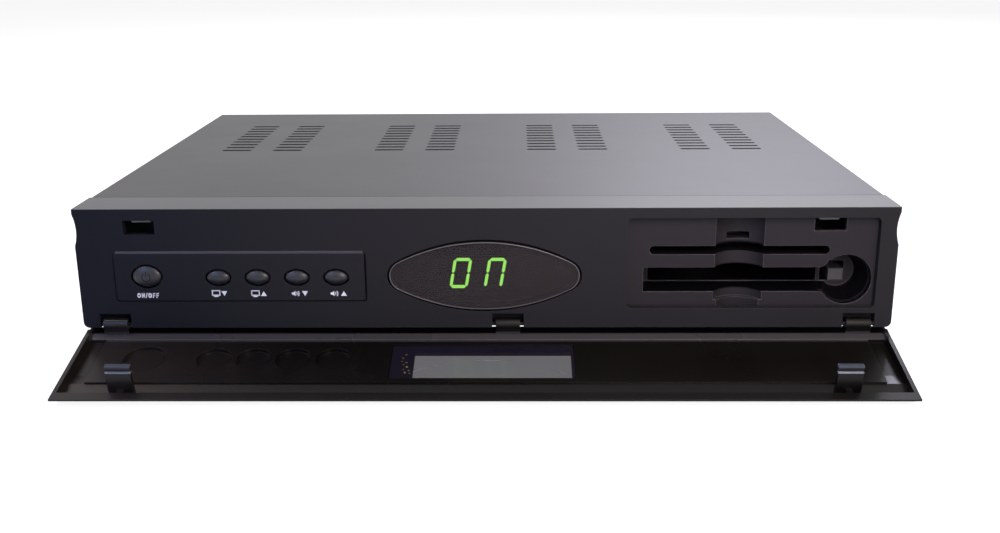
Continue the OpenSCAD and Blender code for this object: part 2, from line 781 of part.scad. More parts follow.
// Segment s of a seven-bar digit, lettered a to g as usual
module segment(s) {
    gap_s = 0.25;
    w = digit_w - stroke;
    h = (digit_h - stroke) / 2;
    if (s == "a") translate([0, h]) bar2d(w - gap_s);
    if (s == "g") bar2d(w - gap_s);
    if (s == "d") translate([0, -h]) bar2d(w - gap_s);
    if (s == "b" || s == "c" || s == "e" || s == "f") {
        side = s == "b" || s == "c" ? 1 : -1;
        up = s == "b" || s == "f" ? 1 : -1;
        translate([side * w / 2, up * h / 2]) rotate(90) bar2d(h - gap_s);
    }
}

// Digits that are lit, and those that are dark: left to right
lit = ["", "abcdef", "abcef", ""];
all_bars = "abcdefg";

module segments(on) {
    for (i = [0:3]) for (s = all_bars) if ((len(search(s, lit[i])) > 0) == on)
        translate([digit_x0 + i * digit_step, 0, lens_z]) along_y(display_y - segment_t, display_y)
            multmatrix([[1, tan(slant), 0, 0], [0, 1, 0, 0], [0, 0, 1, 0]]) segment(s);
}

module lit_segments() {
    color([0.6, 0.95, 0.35]) placed() segments(true);
}

module dark_segments() {
    color([0.18, 0.15, 0.15]) placed() segments(false);
}

module front_board() {
    color([0.1, 0.3, 0.15]) placed() difference() {
        box([front_board_x0, board_y, front_board_z0], [front_board_x1, board_y + pcb, front_board_z1]);
        for (x = [front_board_x0 + 4, front_board_x1 - 4], z = [front_board_z0 + 3, front_board_z1 - 3])
            rod_y(x, z, board_y - 1, board_y + pcb + 1, screw_r + screw_gap);
    }
}

module tact_switches() {
    color([0.2, 0.2, 0.2]) placed() for (i = [0:4]) translate([button_xs[i], 0, button_zs[i]]) {
        box([-3, board_y - tact_h, -3], [3, board_y, 3]);
        rod_y(0, 0, board_y - tact_h - plunger_h, board_y - tact_h + 0.1, 1.6);
    }
}

module ir_receiver() {
    color([0.15, 0.05, 0.05]) placed() {
        box([22.8, board_y - 4.2, lens_z - 3.2], [28, board_y, lens_z + 3.2]);
        translate([25.4, board_y - 4.2, lens_z + 0.6]) sphere(r = 2.1);
    }
}

// ---- Buttons ----

// Domed cap with a retaining flange and the stem that presses its switch
module push_button(i) {
    w = i == 0 ? standby_w : small_w;
    dome_r = (pow(w / 2 + 0.3, 2) + pow(crown, 2)) / (2 * crown);
    color([0.14, 0.14, 0.17]) placed() translate([button_xs[i], 0, button_zs[i]]) {
        intersection() {
            along_y(-cap_out, button_back + 0.1) button_outline(i, 0);
            translate([0, dome_r - cap_out, 0]) rotate([90, 0, 0]) sphere(r = dome_r, $fn = 64);
        }
        along_y(button_back, button_back + button_flange) button_outline(i, cap_gap + 0.5);
        rod_y(0, 0, button_back + button_flange - 0.1, stem_end, 1.5);
    }
}

module standby_button() { push_button(0); }

module channel_down_button() { push_button(1); }

module channel_up_button() { push_button(2); }

module volume_down_button() { push_button(3); }

module volume_up_button() { push_button(4); }

// ---- Flap ----

// Puts the flap's own frame at the hinge, open and resting on the table
module flap_open() {
    placed() translate([0, hinge_y, hinge_z]) rotate([tilt, 0, 0]) children();
}

// Cross-section of the flap as a solid bar with its sloped outer edge
module flap_section() {
    polygon([[strip_back, rim_z], [-flap_l, rim_z], [-flap_l, rim_z - edge_t], [-heel, outer_z],
        [strip_back, outer_z]]);
}

// Cross-section of the gutter, which follows the slope of the outer edge at one wall's distance
module gutter_section() {
    floor_end = heel + (flap_t - gutter_drop - skin_rise) / slope;
    polygon([[-strip_s, 1], [-strip_s, gutter_z], [-field_s1 + 5, gutter_z],
        [-field_s1, gutter_z + gutter_rise], [-floor_end, gutter_z],
        [-rim_s, outer_z + (rim_s - heel) * slope + skin_rise], [-rim_s, 1]]);
}

// Cross-section cut away over the hinge-side strip, which falls towards the gutter
module strip_section() {
    polygon([[0, 1], [0, strip_z], [-rim_start, strip_z], [-strip_s, strip_z - strip_fall],
        [-strip_s - 1, strip_z - strip_fall], [-strip_s - 1, 1]]);
}

// Cross-section of a latch hook: an arc round the hinge line with a groove for the catch lip
module hook_section() {
    groove_z = lip_y - hinge_y - lip_room;
    intersection() {
        difference() {
            circle(r = hook_out_r, $fn = 180);
            circle(r = hook_out_r - hook_t, $fn = 180);
            difference() {
                translate([-flap_l, groove_z]) square([flap_l, lip_t + 2 * lip_room]);
                circle(r = hook_out_r - hook_neck, $fn = 180);
            }
        }
        translate([-flap_l, gutter_z - 0.1]) square([flap_l, hook_top - gutter_z + 0.1]);
    }
}

module flap_door() {
    fx = flap_w / 2;
    color([0.09, 0.07, 0.07]) flap_open() difference() {
        union() {
            difference() {
                along_x(-fx, fx) flap_section();
                // gutter inside the rims
                along_x(-fx + rim_w, fx - rim_w) gutter_section();
                // lower strip at the hinge side
                along_x(-fx + rim_w, fx - rim_w) strip_section();
                box([-fx - 1, -rim_start, strip_z], [fx + 1, strip_back + 1, 1]);
            }
            // raised field
            box([-fx + field_inset, -field_s1, gutter_z - 0.1], [fx - field_inset, -field_s0, field_z]);
            // knuckles
            at_hinges() {
                translate([-knuckle_w / 2, 0, 0]) rotate([0, 90, 0]) cylinder(h = knuckle_w, r = knuckle_r);
                box([-knuckle_w / 2, -knuckle_r, strip_z - 0.1], [knuckle_w / 2, strip_back, 0]);
            }
            // latch hooks, curved to swing through their holes
            for (s = [-1, 1])
                along_x(s * hook_x - hook_w / 2, s * hook_x + hook_w / 2) hook_section();
            // gussets between the hooks and the free edge
            for (s = [-1, 1])
                box([s * hook_x - 1, -rim_s - 0.5, rim_z - 2], [s * hook_x + 1, -hook_out_r + 0.7, rim_z]);
        }
        at_hinges() translate([-knuckle_w / 2 - 1, 0, 0]) rotate([0, 90, 0])
            cylinder(h = knuckle_w + 2, r = pin_r + run_gap);
        // pockets that clear the buttons
        for (i = [0:4]) translate([button_xs[i] + (i == 0 ? 0.8 : 0), -pocket_s, gutter_z])
            cylinder(h = 5, r = i == 0 ? 6.8 : 5.7);
        // window seat and the opening in it
        box([window_x - window_w / 2, -window_s - window_l, outer_z + 1.2],
            [window_x + window_w / 2, -window_s, 1]);
        box([window_x - window_w / 2 + ledge_left, -window_s - window_l + ledge, outer_z - 1],
            [window_x + window_w / 2 - ledge_right, -window_s - ledge, 1]);
    }
}

module flap_window() {
    fit = 0.15;
    color([0.3, 0.3, 0.35, 0.5]) flap_open()
        box([window_x - window_w / 2 + fit, -window_s - window_l + fit, outer_z + 1.2],
            [window_x + window_w / 2 - fit, -window_s - fit, outer_z + 1.2 + window_t]);
}

module hinge_pins() {
    color("lightgrey") placed() at_hinges()
        translate([-7.8, hinge_y, hinge_z]) rotate([0, 90, 0]) cylinder(h = 15.6, r = pin_r);
}

// ---- Card cage and ejector ----

module ci_cage() {
    x0 = cage_x0 - cage_t;
    x1 = cage_x1 + cage_t;
    slot_x = [pusher_x - tab_r - 1.1, pusher_x + tab_r + 1.1];
    color("gainsboro") placed() {
        difference() {
            union() {
                box([x0, cage_y0, cage_z0 - cage_t], [x1, cage_y1, cage_z1 + cage_t]);
                for (x = [x0, x1 - cage_t], y = [cage_y0 + 8, cage_y1 - 16])
                    box([x, y, board_top], [x + cage_t, y + 8, cage_z0]);
                post(lever_x, lever_y, cage_z1 + cage_t - 0.1, lever_z + lever_t + 0.6, pivot_r);
                // channel for the eject rod
                box([x1 - 0.1, cage_y0 + 12, cage_z0 - cage_t], [rod_x + 2.4, cage_y1 - 22, cage_z0 + 0.2]);
                box([rod_x + 2, cage_y0 + 12, cage_z0 - cage_t], [rod_x + 2.4, cage_y1 - 22, cage_z0 + 3]);
            }
            box([cage_x0, cage_y0 - 1, cage_z0], [cage_x1, cage_y1 - 4, cage_z1]);
            box([slot_x[0], lever_y - eject_travel - tab_r - 0.6, cage_z1 - 1],
                [slot_x[1], lever_y + tab_r + 0.6, cage_z1 + 1]);
        }
    }
}

module ci_header() {
    color([0.12, 0.12, 0.12]) placed()
        box([cage_x0 + 2, cage_y1 + gap, board_top], [cage_x1 - 2, cage_y1 + 6, cage_z1 - 0.6]);
}

module eject_button() {
    z0 = eject_hole_z0 + 0.25;
    x1 = eject_hole_x0 + eject_hole_w - 0.25;
    cap_w = 4.8;
    cap_h = 3.8;
    color([0.3, 0.3, 0.35]) placed() {
        box([x1 - cap_w, pocket_floor - 0.4, z0], [x1, cage_y0 + 5, z0 + cap_h]);
        box([rod_x - 0.6, cage_y0 + 4.9, z0 + 0.5], [rod_x + 0.6, lever_y + 3, z0 + cap_h - 0.3]);
        box([rod_x - 1.4, lever_y - 3, z0 + 0.5], [rod_x + 1.4, lever_y + 3, z0 + cap_h - 0.3]);
        post(rod_x, lever_y, z0 + 1, lever_z + lever_t + 0.4, tab_r);
    }
}

// Long hole across the lever that follows a tab
module tab_slot(x) {
    for (s = [-1, 1]) post(x + s * 0.7, lever_y, lever_z - 1, lever_z + lever_t + 1, tab_r + tab_gap);
    box([x - 0.7, lever_y - tab_r - tab_gap, lever_z - 1],
        [x + 0.7, lever_y + tab_r + tab_gap, lever_z + lever_t + 1]);
}

module eject_lever() {
    end_r = tab_r + tab_gap + 1.5;
    color("silver") placed() difference() {
        union() {
            for (x = [rod_x, pusher_x]) post(x, lever_y, lever_z, lever_z + lever_t, end_r + 0.7);
            post(lever_x, lever_y, lever_z, lever_z + lever_t, 4);
            box([pusher_x, lever_y - 2.6, lever_z], [rod_x, lever_y + 2.6, lever_z + lever_t]);
        }
        post(lever_x, lever_y, lever_z - 1, lever_z + lever_t + 1, pivot_r + run_gap);
        tab_slot(rod_x);
        tab_slot(pusher_x);
    }
}

module card_pusher() {
    color("silver") placed() {
        box([pusher_x - 7, lever_y - 1.6, cage_z0 + 0.2], [pusher_x + 7, lever_y + 1.6, cage_z1 - 0.2]);
        post(pusher_x, lever_y, cage_z1 - 1, lever_z + lever_t + 0.4, tab_r);
    }
}

module smartcard_reader() {
    y0 = pocket_floor + tub_t + gap;
    y1 = y0 + 62;
    x0 = card_x - chip_slot_w / 2 - 1.5;
    x1 = card_x + chip_slot_w / 2 + 1.5;
    z0 = cage_z1 + cage_t + gap;
    color([0.15, 0.15, 0.17]) placed() {
        difference() {
            box([x0, y0, chip_z - 3], [x1, y1, chip_z + 3]);
            box([x0 + 1.5, y0 - 1, chip_z - chip_slot_h / 2], [x1 - 1.5, y1 - 3, chip_z + chip_slot_h / 2]);
            box([card_x - 12, y0 - 1, chip_z], [card_x + 12, y0 + 30, chip_z + 5]);
        }
        for (x = [x0, x1 - 3], y = [y0, y1 - 6]) box([x, y, z0], [x + 3, y + 6, chip_z - 2.9]);
    }
}

// ---- Boards ----

// Circuit board with its screw holes
module board(x0, y0, x1, y1, holes) {
    difference() {
        box([x0, y0, board_z], [x1, y1, board_top]);
        for (p = holes) post(p[0], p[1], board_z - 1, board_top + 1, screw_r + screw_gap);
    }
}

module main_board() {
    color([0.1, 0.35, 0.2]) placed() board(main_x0, main_y0, main_x1, main_y1, main_holes);
}

module psu_board() {
    color([0.55, 0.45, 0.25]) placed() board(psu_x0, psu_y0, psu_x1, main_y1, psu_holes);
}

module main_chips() {
    color([0.12, 0.12, 0.12]) placed() {
        box([-22, 112, board_top], [6, 140, board_top + 2.4]);
        for (i = [0:1]) box([-50, 108 + i * 16, board_top], [-32, 119 + i * 16, board_top + 1.4]);
        box([14, 114, board_top], [26, 132, board_top + 1.4]);
        for (i = [0:2]) post(32 + i * 9, 120, board_top, board_top + 11, 3.2);
    }
}

module chip_heat_sink() {
    z0 = board_top + 2.4;
    color("silver") placed() {
        box([-22, 112, z0], [6, 140, z0 + 2]);
        for (i = [0:6]) box([-22 + i * 4.4, 112, z0 + 1.9], [-20.4 + i * 4.4, 140, z0 + 12]);
    }
}

module tuner_can() {
    x0 = aerial_xs[0] - 10;
    x1 = aerial_xs[1] + 7;
    color("gainsboro") placed() difference() {
        box([x0, main_y1 - 46, board_top], [x1, panel_y - gap, board_top + 21]);
        for (i = [0:4]) box([x0 + 5 + i * 5, main_y1 - 40, board_top + 20.4],
            [x0 + 7 + i * 5, main_y1 - 10, board_top + 22]);
    }
}

module f_connectors() {
    color("silver") placed() for (x = aerial_xs) translate([x, 0, socket_z + 2]) difference() {
        union() {
            rod_y(0, 0, panel_y - gap, rear_most, aerial_r);
            translate([0, rear_y + gap, 0]) rotate([-90, 0, 0]) cylinder(h = 1.8, r = 6.4, $fn = 6);
        }
        rod_y(0, 0, rear_most - 8, rear_most + 1, 2.6);
    }
}

module scart_sockets() {
    color([0.12, 0.12, 0.13]) placed() for (i = [0, 1]) translate([scart_x, 0, scart_z0 + i * scart_step]) {
        difference() {
            box([-scart_w / 2, main_y1 - 22, 0], [scart_w / 2, rear_y + scart_out, scart_h]);
            along_y(rear_y + scart_out - 8, rear_y + scart_out + 1) translate([0, scart_h / 2]) difference() {
                square([scart_w - 3, scart_h - 3], center = true);
                square([scart_w - 6, scart_h - 6], center = true);
            }
            for (r = [-1, 1], k = [0:9])
                box([-16.6 + k * 3.6 + r * 0.9, rear_y + scart_out - 7, scart_h / 2 + r * 1.6 - 1],
                    [-15.8 + k * 3.6 + r * 0.9, rear_y + scart_out + 1, scart_h / 2 + r * 1.6 + 1]);
        }
        if (i == 0) for (s = [-1, 1])
            box([s * 18 - 2, main_y1 - 20, board_top - scart_z0], [s * 18 + 2, main_y1 - 2, 0.1]);
        if (i == 1) for (s = [-1, 1])
            box([s * 18 - 2, main_y1 - 20, scart_h - scart_step], [s * 18 + 2, main_y1 - 2, 0.1]);
    }
}

module rca_jacks() {
    color([0.15, 0.15, 0.15]) placed() for (i = [0:phonos - 1])
        translate([phono_x0 + i * phono_step, 0, phono_z]) difference() {
            union() {
                box([-5.5, panel_y - gap - 12, board_top - phono_z], [5.5, panel_y - gap, 5.5]);
                rod_y(0, 0, panel_y - gap - 0.1, rear_y + phono_ring_l, phono_r + phono_ring);
                rod_y(0, 0, rear_y, rear_y + phono_l, phono_r);
            }
            rod_y(0, 0, rear_y + phono_l - 8, rear_y + phono_l + 1, 1.6);
        }
}

module serial_port() {
    color("silver") placed() translate([serial_x, 0, phono_z]) difference() {
        union() {
            box([-15.5, panel_y - gap - 0.8, -6.2], [15.5, panel_y - gap, 6.2]);
            box([-8.5, panel_y - gap - 11, board_top - phono_z], [8.5, panel_y - gap - 0.7, 5]);
            along_y(panel_y - gap - 0.1, rear_y + 5.6)
                polygon([[-9.3, 5.2], [9.3, 5.2], [7.7, -5.2], [-7.7, -5.2]]);
            for (s = [-1, 1]) rod_y(s * 12.5, 0, panel_y - gap - 0.1, rear_y + 1.2, 2);
            for (s = [-1, 1]) translate([s * 12.5, rear_y + 0.1, 0]) rotate([-90, 0, 0])
                cylinder(h = 5, r = 2.9, $fn = 6);
        }
        for (i = [0:4]) rod_y(-5.5 + i * 2.75, 1.42, rear_y + 1, rear_y + 6, 0.55);
        for (i = [0:3]) rod_y(-4.1 + i * 2.75, -1.42, rear_y + 1, rear_y + 6, 0.55);
        for (s = [-1, 1]) rod_y(s * 12.5, 0, rear_y + 1, rear_y + 6, 1.2);
    }
}

// ---- Power supply ----

// Moves to a point on the power supply board, from its left edge and its rear edge
module on_psu(x, y) {
    translate([psu_x0 + x, main_y1 - y, board_top]) children();
}

module transformer() {
    color([0.75, 0.65, 0.3]) placed() on_psu(33, 70.2) {
        box([-13, -14, 0], [13, 14, 3]);
        box([-11, -11, 2.9], [11, 11, 17]);
        difference() {
            box([-14, -6, 5], [14, 6, 19]);
            box([-11.1, -7, 4], [11.1, 7, 16.9]);
        }
    }
}

module psu_heat_sink() {
    color("silver") placed() on_psu(3, 88.2) {
        box([0, 0, 0], [2, 50, 24]);
        for (i = [0:7]) box([1.9, 2 + i * 6, 6], [9, 3.4 + i * 6, 24]);
    }
}

module capacitors() {
    color([0.1, 0.12, 0.3]) placed() {
        on_psu(34, 104.2) cylinder(h = 24, r = 9);
        for (x = [37, 47.5], y = [50.2, 40]) on_psu(x, y) cylinder(h = 18, r = 4.4);
    }
}

module fuse_holder() {
    color([0.7, 0.7, 0.72]) placed() on_psu(20, 25.2) {
        for (s = [-1, 1]) box([s * 10 - 2, -3, 0], [s * 10 + 2, 3, 5.8]);
        translate([-8.1, 0, 3.4]) rotate([0, 90, 0]) cylinder(h = 16.2, r = 2.5);
    }
}

module mains_inlet() {
    y1 = rear_y + 1.6;
    color([0.12, 0.12, 0.12]) placed() translate([inlet_x, 0, socket_z]) difference() {
        union() {
            box([-9.6, panel_y - 15, -5.6], [9.6, rear_y + 0.2, 5.6]);
            along_y(rear_y + gap, y1) round_rect(24, 14, 2);
            box([-7, panel_y - 14, board_top - socket_z], [7, panel_y - 4.2, -5.5]);
        }
        difference() {
            along_y(y1 - 11, y1 + 1) {
                for (s = [-1, 1]) translate([s * 4.2, 0]) circle(r = 4.1);
                square([5.4, 6.4], center = true);
            }
            for (s = [-1, 1]) rod_y(s * 4.3, 0, y1 - 12, y1 - 1.6, 1.2);
        }
    }
}

module power_switch_body() {
    y1 = rear_y + 1.8;
    color([0.1, 0.1, 0.1]) placed() translate([switch_x, 0, switch_z]) difference() {
        union() {
            box([-6.5, panel_y - 13, -9.5], [6.5, rear_y + 0.3, 9.5]);
            along_y(rear_y + gap, y1) round_rect(15.4, 21.4, 1.5);
            for (s = [-1, 1]) box([s * 3 - 0.4, panel_y - 19, -3], [s * 3 + 0.4, panel_y - 12.9, 3]);
        }
        box([-5.2, panel_y - 8, -8.2], [5.2, y1 + 1, 8.2]);
        translate([-6, rear_y - 3, 0]) rotate([0, 90, 0]) cylinder(h = 12, r = 1 + run_gap);
    }
}

// Rocker drawn level, then tipped to the ON side
module power_rocker() {
    tip = 10;
    color([0.2, 0.2, 0.2]) placed() translate([switch_x, rear_y - 3, switch_z]) rotate([tip, 0, 0]) {
        along_x(-4.9, 4.9) polygon([[-2.4, -2.5], [-2.4, 2.5], [1.2, 7.4], [4.3, 7.4], [3, 0], [4.3, -7.4],
            [1.2, -7.4]]);
        translate([-5.9, 0, 0]) rotate([0, 90, 0]) cylinder(h = 11.8, r = 1);
    }
}

// ---- Leads held inside the case ----

// Flat band that follows points in Y and Z
module band(points, t) {
    for (i = [0:len(points) - 2]) {
        a = points[i];
        b = points[i + 1];
        d = b - a;
        l = norm(d);
        n = [-d[1], d[0]] * (t / 2 / l);
        polygon([a - n, b - n, b + n, a + n]);
        translate(b) circle(r = t / 2, $fn = 16);
    }
}

module ribbon_cable() {
    y0 = board_y + pcb;
    y1 = main_y0 + 16;
    z0 = 30;
    color([0.7, 0.7, 0.75]) placed() {
        box([-34, y0, z0 - 3], [-10, y0 + 4, z0 + 3]);
        box([-34, y1 - 3, board_top], [-10, y1 + 3, board_top + 5]);
        along_x(-32, -12) band([[y0 + 3.9, z0], [y0 + 9, z0 + 2], [y0 + 16, z0 + 3], [y1 - 4, z0 + 1],
            [y1, z0 - 3], [y1, board_top + 4.9]], 0.9);
    }
}

module power_harness() {
    x0 = psu_x1 - 4.5;
    x1 = main_x0 + 6;
    y0 = main_y1 - 92.2;
    color([0.75, 0.2, 0.15]) placed() {
        box([x0 - 3, y0, board_top], [x0 + 3, y0 + 14, board_top + 7]);
        box([x1 - 3, y0, board_top], [x1 + 3, y0 + 14, board_top + 7]);
        translate([0, y0 + 13, 0]) rotate([90, 0, 0]) linear_extrude(height = 12)
            band([[x0, board_top + 6.9], [x0, board_top + 10], [x0 + 3, board_top + 13],
                [x1 - 3, board_top + 13], [x1, board_top + 10], [x1, board_top + 6.9]], 1.4);
    }
}

// ---- Fasteners and feet ----

module standoffs() {
    color("gold") placed() for (p = board_holes) difference() {
        translate([p[0], p[1], floor_z]) cylinder(h = standoff_h, r = standoff_r, $fn = 6);
        post(p[0], p[1], floor_z - 1, board_z + 1, screw_r + screw_gap / 4);
    }
}

module board_screws() {
    color("silver") placed() {
        for (p = board_holes) translate([p[0], p[1], board_top]) rotate([180, 0, 0]) screw(pcb + 3.4);
        for (x = [front_board_x0 + 4, front_board_x1 - 4], z = [front_board_z0 + 3, front_board_z1 - 3])
            translate([x, board_y + pcb, z]) rotate([90, 0, 0]) screw(pcb + 5);
    }
}

module cover_screws() {
    color([0.1, 0.1, 0.1]) placed() at_side_screws() screw(sheet * 2 + 2.4);
}

module rear_screws() {
    color([0.1, 0.1, 0.1]) placed() at_rear_screws() screw(sheet * 2 + 3);
}

// Positions of the feet
module at_feet() {
    for (s = [-1, 1], y = foot_ys) translate([s * foot_x, y, 0]) children();
}

module feet() {
    color([0.1, 0.1, 0.1]) placed() at_feet() difference() {
        translate([0, 0, pad_out]) cylinder(h = base_z - pad_out, r1 = foot_r - 1.2, r2 = foot_r);
        translate([0, 0, pad_out - 1]) cylinder(h = 2, r = foot_r - 2.6);
        translate([0, 0, pad_out]) cylinder(h = 4, r = head_r + 0.5);
        cylinder(h = base_z + 1, r = screw_r + screw_gap);
    }
}

module rubber_pads() {
    color([0.05, 0.05, 0.05]) placed() at_feet() cylinder(h = pad_out + 1, r = foot_r - 2.8);
}

module foot_screws() {
    color("silver") placed() at_feet() translate([0, 0, pad_out + 4]) screw(base_z + 2.4 - pad_out - 4);
}

chassis_base();
rear_panel();
top_cover();
front_bezel();
card_bay();
display_lens();
display_module();
lit_segments();
dark_segments();
front_board();
tact_switches();
ir_receiver();
standby_button();
channel_down_button();
channel_up_button();
volume_down_button();
volume_up_button();
flap_door();
flap_window();
hinge_pins();
latch_catches();
ci_cage();
ci_header();
eject_button();
eject_lever();
card_pusher();
smartcard_reader();
main_board();
main_chips();
chip_heat_sink();
tuner_can();
f_connectors();
scart_sockets();
rca_jacks();
serial_port();
psu_board();
transformer();
psu_heat_sink();
capacitors();
fuse_holder();
mains_inlet();
power_switch_body();
power_rocker();
ribbon_cable();
power_harness();
standoffs();
board_screws();
cover_screws();
rear_screws();
feet();
rubber_pads();
foot_screws();
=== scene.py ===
import math

import bmesh
import bpy
from mathutils import Matrix, Vector


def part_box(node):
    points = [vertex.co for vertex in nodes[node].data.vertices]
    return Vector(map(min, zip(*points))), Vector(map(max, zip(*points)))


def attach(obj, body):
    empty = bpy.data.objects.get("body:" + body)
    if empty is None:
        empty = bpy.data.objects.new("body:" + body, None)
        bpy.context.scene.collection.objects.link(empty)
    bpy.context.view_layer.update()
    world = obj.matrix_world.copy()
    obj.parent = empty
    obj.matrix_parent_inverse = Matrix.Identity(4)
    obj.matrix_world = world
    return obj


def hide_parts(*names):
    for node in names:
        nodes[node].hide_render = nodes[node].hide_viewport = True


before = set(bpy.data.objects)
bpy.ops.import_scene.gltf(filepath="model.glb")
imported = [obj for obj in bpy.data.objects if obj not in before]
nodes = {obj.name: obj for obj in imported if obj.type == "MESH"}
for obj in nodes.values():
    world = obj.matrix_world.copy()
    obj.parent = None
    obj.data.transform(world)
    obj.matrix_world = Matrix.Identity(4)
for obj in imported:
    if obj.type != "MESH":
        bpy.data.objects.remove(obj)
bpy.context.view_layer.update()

mm = 0.001
frontY = -82.08796 * mm  # the front face in the part's own frame
printSink, printProud = 0.02, 0.03  # how far thin marks reach into a face and stand out of it


# millimetres counted from the front face, to metres in the part's frame
def at(x, y, z):
    return Vector((x * mm, y * mm + frontY, z * mm))


# a node's box in the same millimetres
def boxOf(node):
    low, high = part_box(node)
    return ([v / mm for v in (low[0], low[1] - frontY, low[2])],
            [v / mm for v in (high[0], high[1] - frontY, high[2])])


cameraPlan = dict(place=(10.57, -346.73, 136.32), yaw=-1.092, pitch=16.53, roll=-0.428, focalPixels=1140.44,
                  sensor=36, shiftX=0.00325, near=0.02, far=20)


def setCamera(plan):
    yaw, pitch, roll = (math.radians(plan[k]) for k in ("yaw", "pitch", "roll"))
    ahead = Vector((math.sin(yaw) * math.cos(pitch), math.cos(yaw) * math.cos(pitch), -math.sin(pitch)))
    side = Vector((math.cos(yaw), -math.sin(yaw), 0))
    upward = side.cross(ahead)
    across = side * math.cos(roll) + upward * math.sin(roll)
    over = upward * math.cos(roll) - side * math.sin(roll)
    data = bpy.data.cameras.new("photoCamera")
    data.sensor_width = plan["sensor"]
    data.lens = plan["focalPixels"] * plan["sensor"] / 1000
    data.shift_x = plan["shiftX"]
    data.clip_start, data.clip_end = plan["near"], plan["far"]
    cam = bpy.data.objects.new("photoCamera", data)
    bpy.context.collection.objects.link(cam)
    turn = Matrix((across, over, -ahead)).transposed().to_4x4()
    cam.matrix_world = Matrix.Translation(at(*plan["place"])) @ turn
    bpy.context.scene.camera = cam


setCamera(cameraPlan)
print("camera set")


def newGroup(name, inputs, outputs):
    group = bpy.data.node_groups.new(name, "ShaderNodeTree")
    for label, kind, value in inputs:
        socket = group.interface.new_socket(label, in_out="INPUT", socket_type=kind)
        socket.default_value = value
    for label, kind in outputs:
        group.interface.new_socket(label, in_out="OUTPUT", socket_type=kind)
    return group, group.nodes.new("NodeGroupInput"), group.nodes.new("NodeGroupOutput")


def mathNode(tree, operation, first, second, third=None):
    node = tree.nodes.new("ShaderNodeMath")
    node.operation = operation
    for i, value in enumerate((first, second, third)):
        if value is None:
            continue
        if isinstance(value, (int, float)):
            node.inputs[i].default_value = value
        else:
            tree.links.new(value, node.inputs[i])
    return node.outputs[0]


def noiseNode(tree, coords, scale, detail, rough):
    node = tree.nodes.new("ShaderNodeTexNoise")
    node.inputs["Detail"].default_value = detail
    node.inputs["Roughness"].default_value = rough
    tree.links.new(coords, node.inputs["Vector"])
    tree.links.new(scale, node.inputs["Scale"])
    return node.outputs["Fac"]


def rangeNode(tree, value, fromLow, fromHigh, toLow=0.0, toHigh=1.0):
    node = tree.nodes.new("ShaderNodeMapRange")
    for label, number in (("From Min", fromLow), ("From Max", fromHigh),
                          ("To Min", toLow), ("To Max", toHigh)):
        node.inputs[label].default_value = number
    tree.links.new(value, node.inputs["Value"])
    return node.outputs["Result"]


# moulded or sprayed grain as a bump, and a mask of the rounded edges
def makeGrain():
    tree, given, result = newGroup(
        "surfaceGrain",
        [("Grains per mm", "NodeSocketFloat", 3.0), ("Height mm", "NodeSocketFloat", 0.02),
         ("Rounding mm", "NodeSocketFloat", 0.3)],
        [("Normal", "NodeSocketVector"), ("Edge", "NodeSocketFloat"), ("Grain", "NodeSocketFloat")])
    coords = tree.nodes.new("ShaderNodeTexCoord").outputs["Object"]
    grain = noiseNode(tree, coords, mathNode(tree, "DIVIDE", given.outputs["Grains per mm"], mm), 2.0, 0.6)
    bevel = tree.nodes.new("ShaderNodeBevel")
    bevel.samples = 4
    tree.links.new(mathNode(tree, "MULTIPLY", given.outputs["Rounding mm"], mm), bevel.inputs["Radius"])
    bump = tree.nodes.new("ShaderNodeBump")
    bump.inputs["Strength"].default_value = 1.0
    tree.links.new(mathNode(tree, "MULTIPLY", given.outputs["Height mm"], mm), bump.inputs["Distance"])
    tree.links.new(grain, bump.inputs["Height"])
    tree.links.new(bevel.outputs["Normal"], bump.inputs["Normal"])
    facing = tree.nodes.new("ShaderNodeVectorMath")
    facing.operation = "DOT_PRODUCT"
    tree.links.new(tree.nodes.new("ShaderNodeNewGeometry").outputs["Normal"], facing.inputs[0])
    tree.links.new(bevel.outputs["Normal"], facing.inputs[1])
    tree.links.new(bump.outputs["Normal"], result.inputs["Normal"])
    tree.links.new(rangeNode(tree, facing.outputs["Value"], 0.995, 0.85), result.inputs["Edge"])
    tree.links.new(grain, result.inputs["Grain"])
    return tree


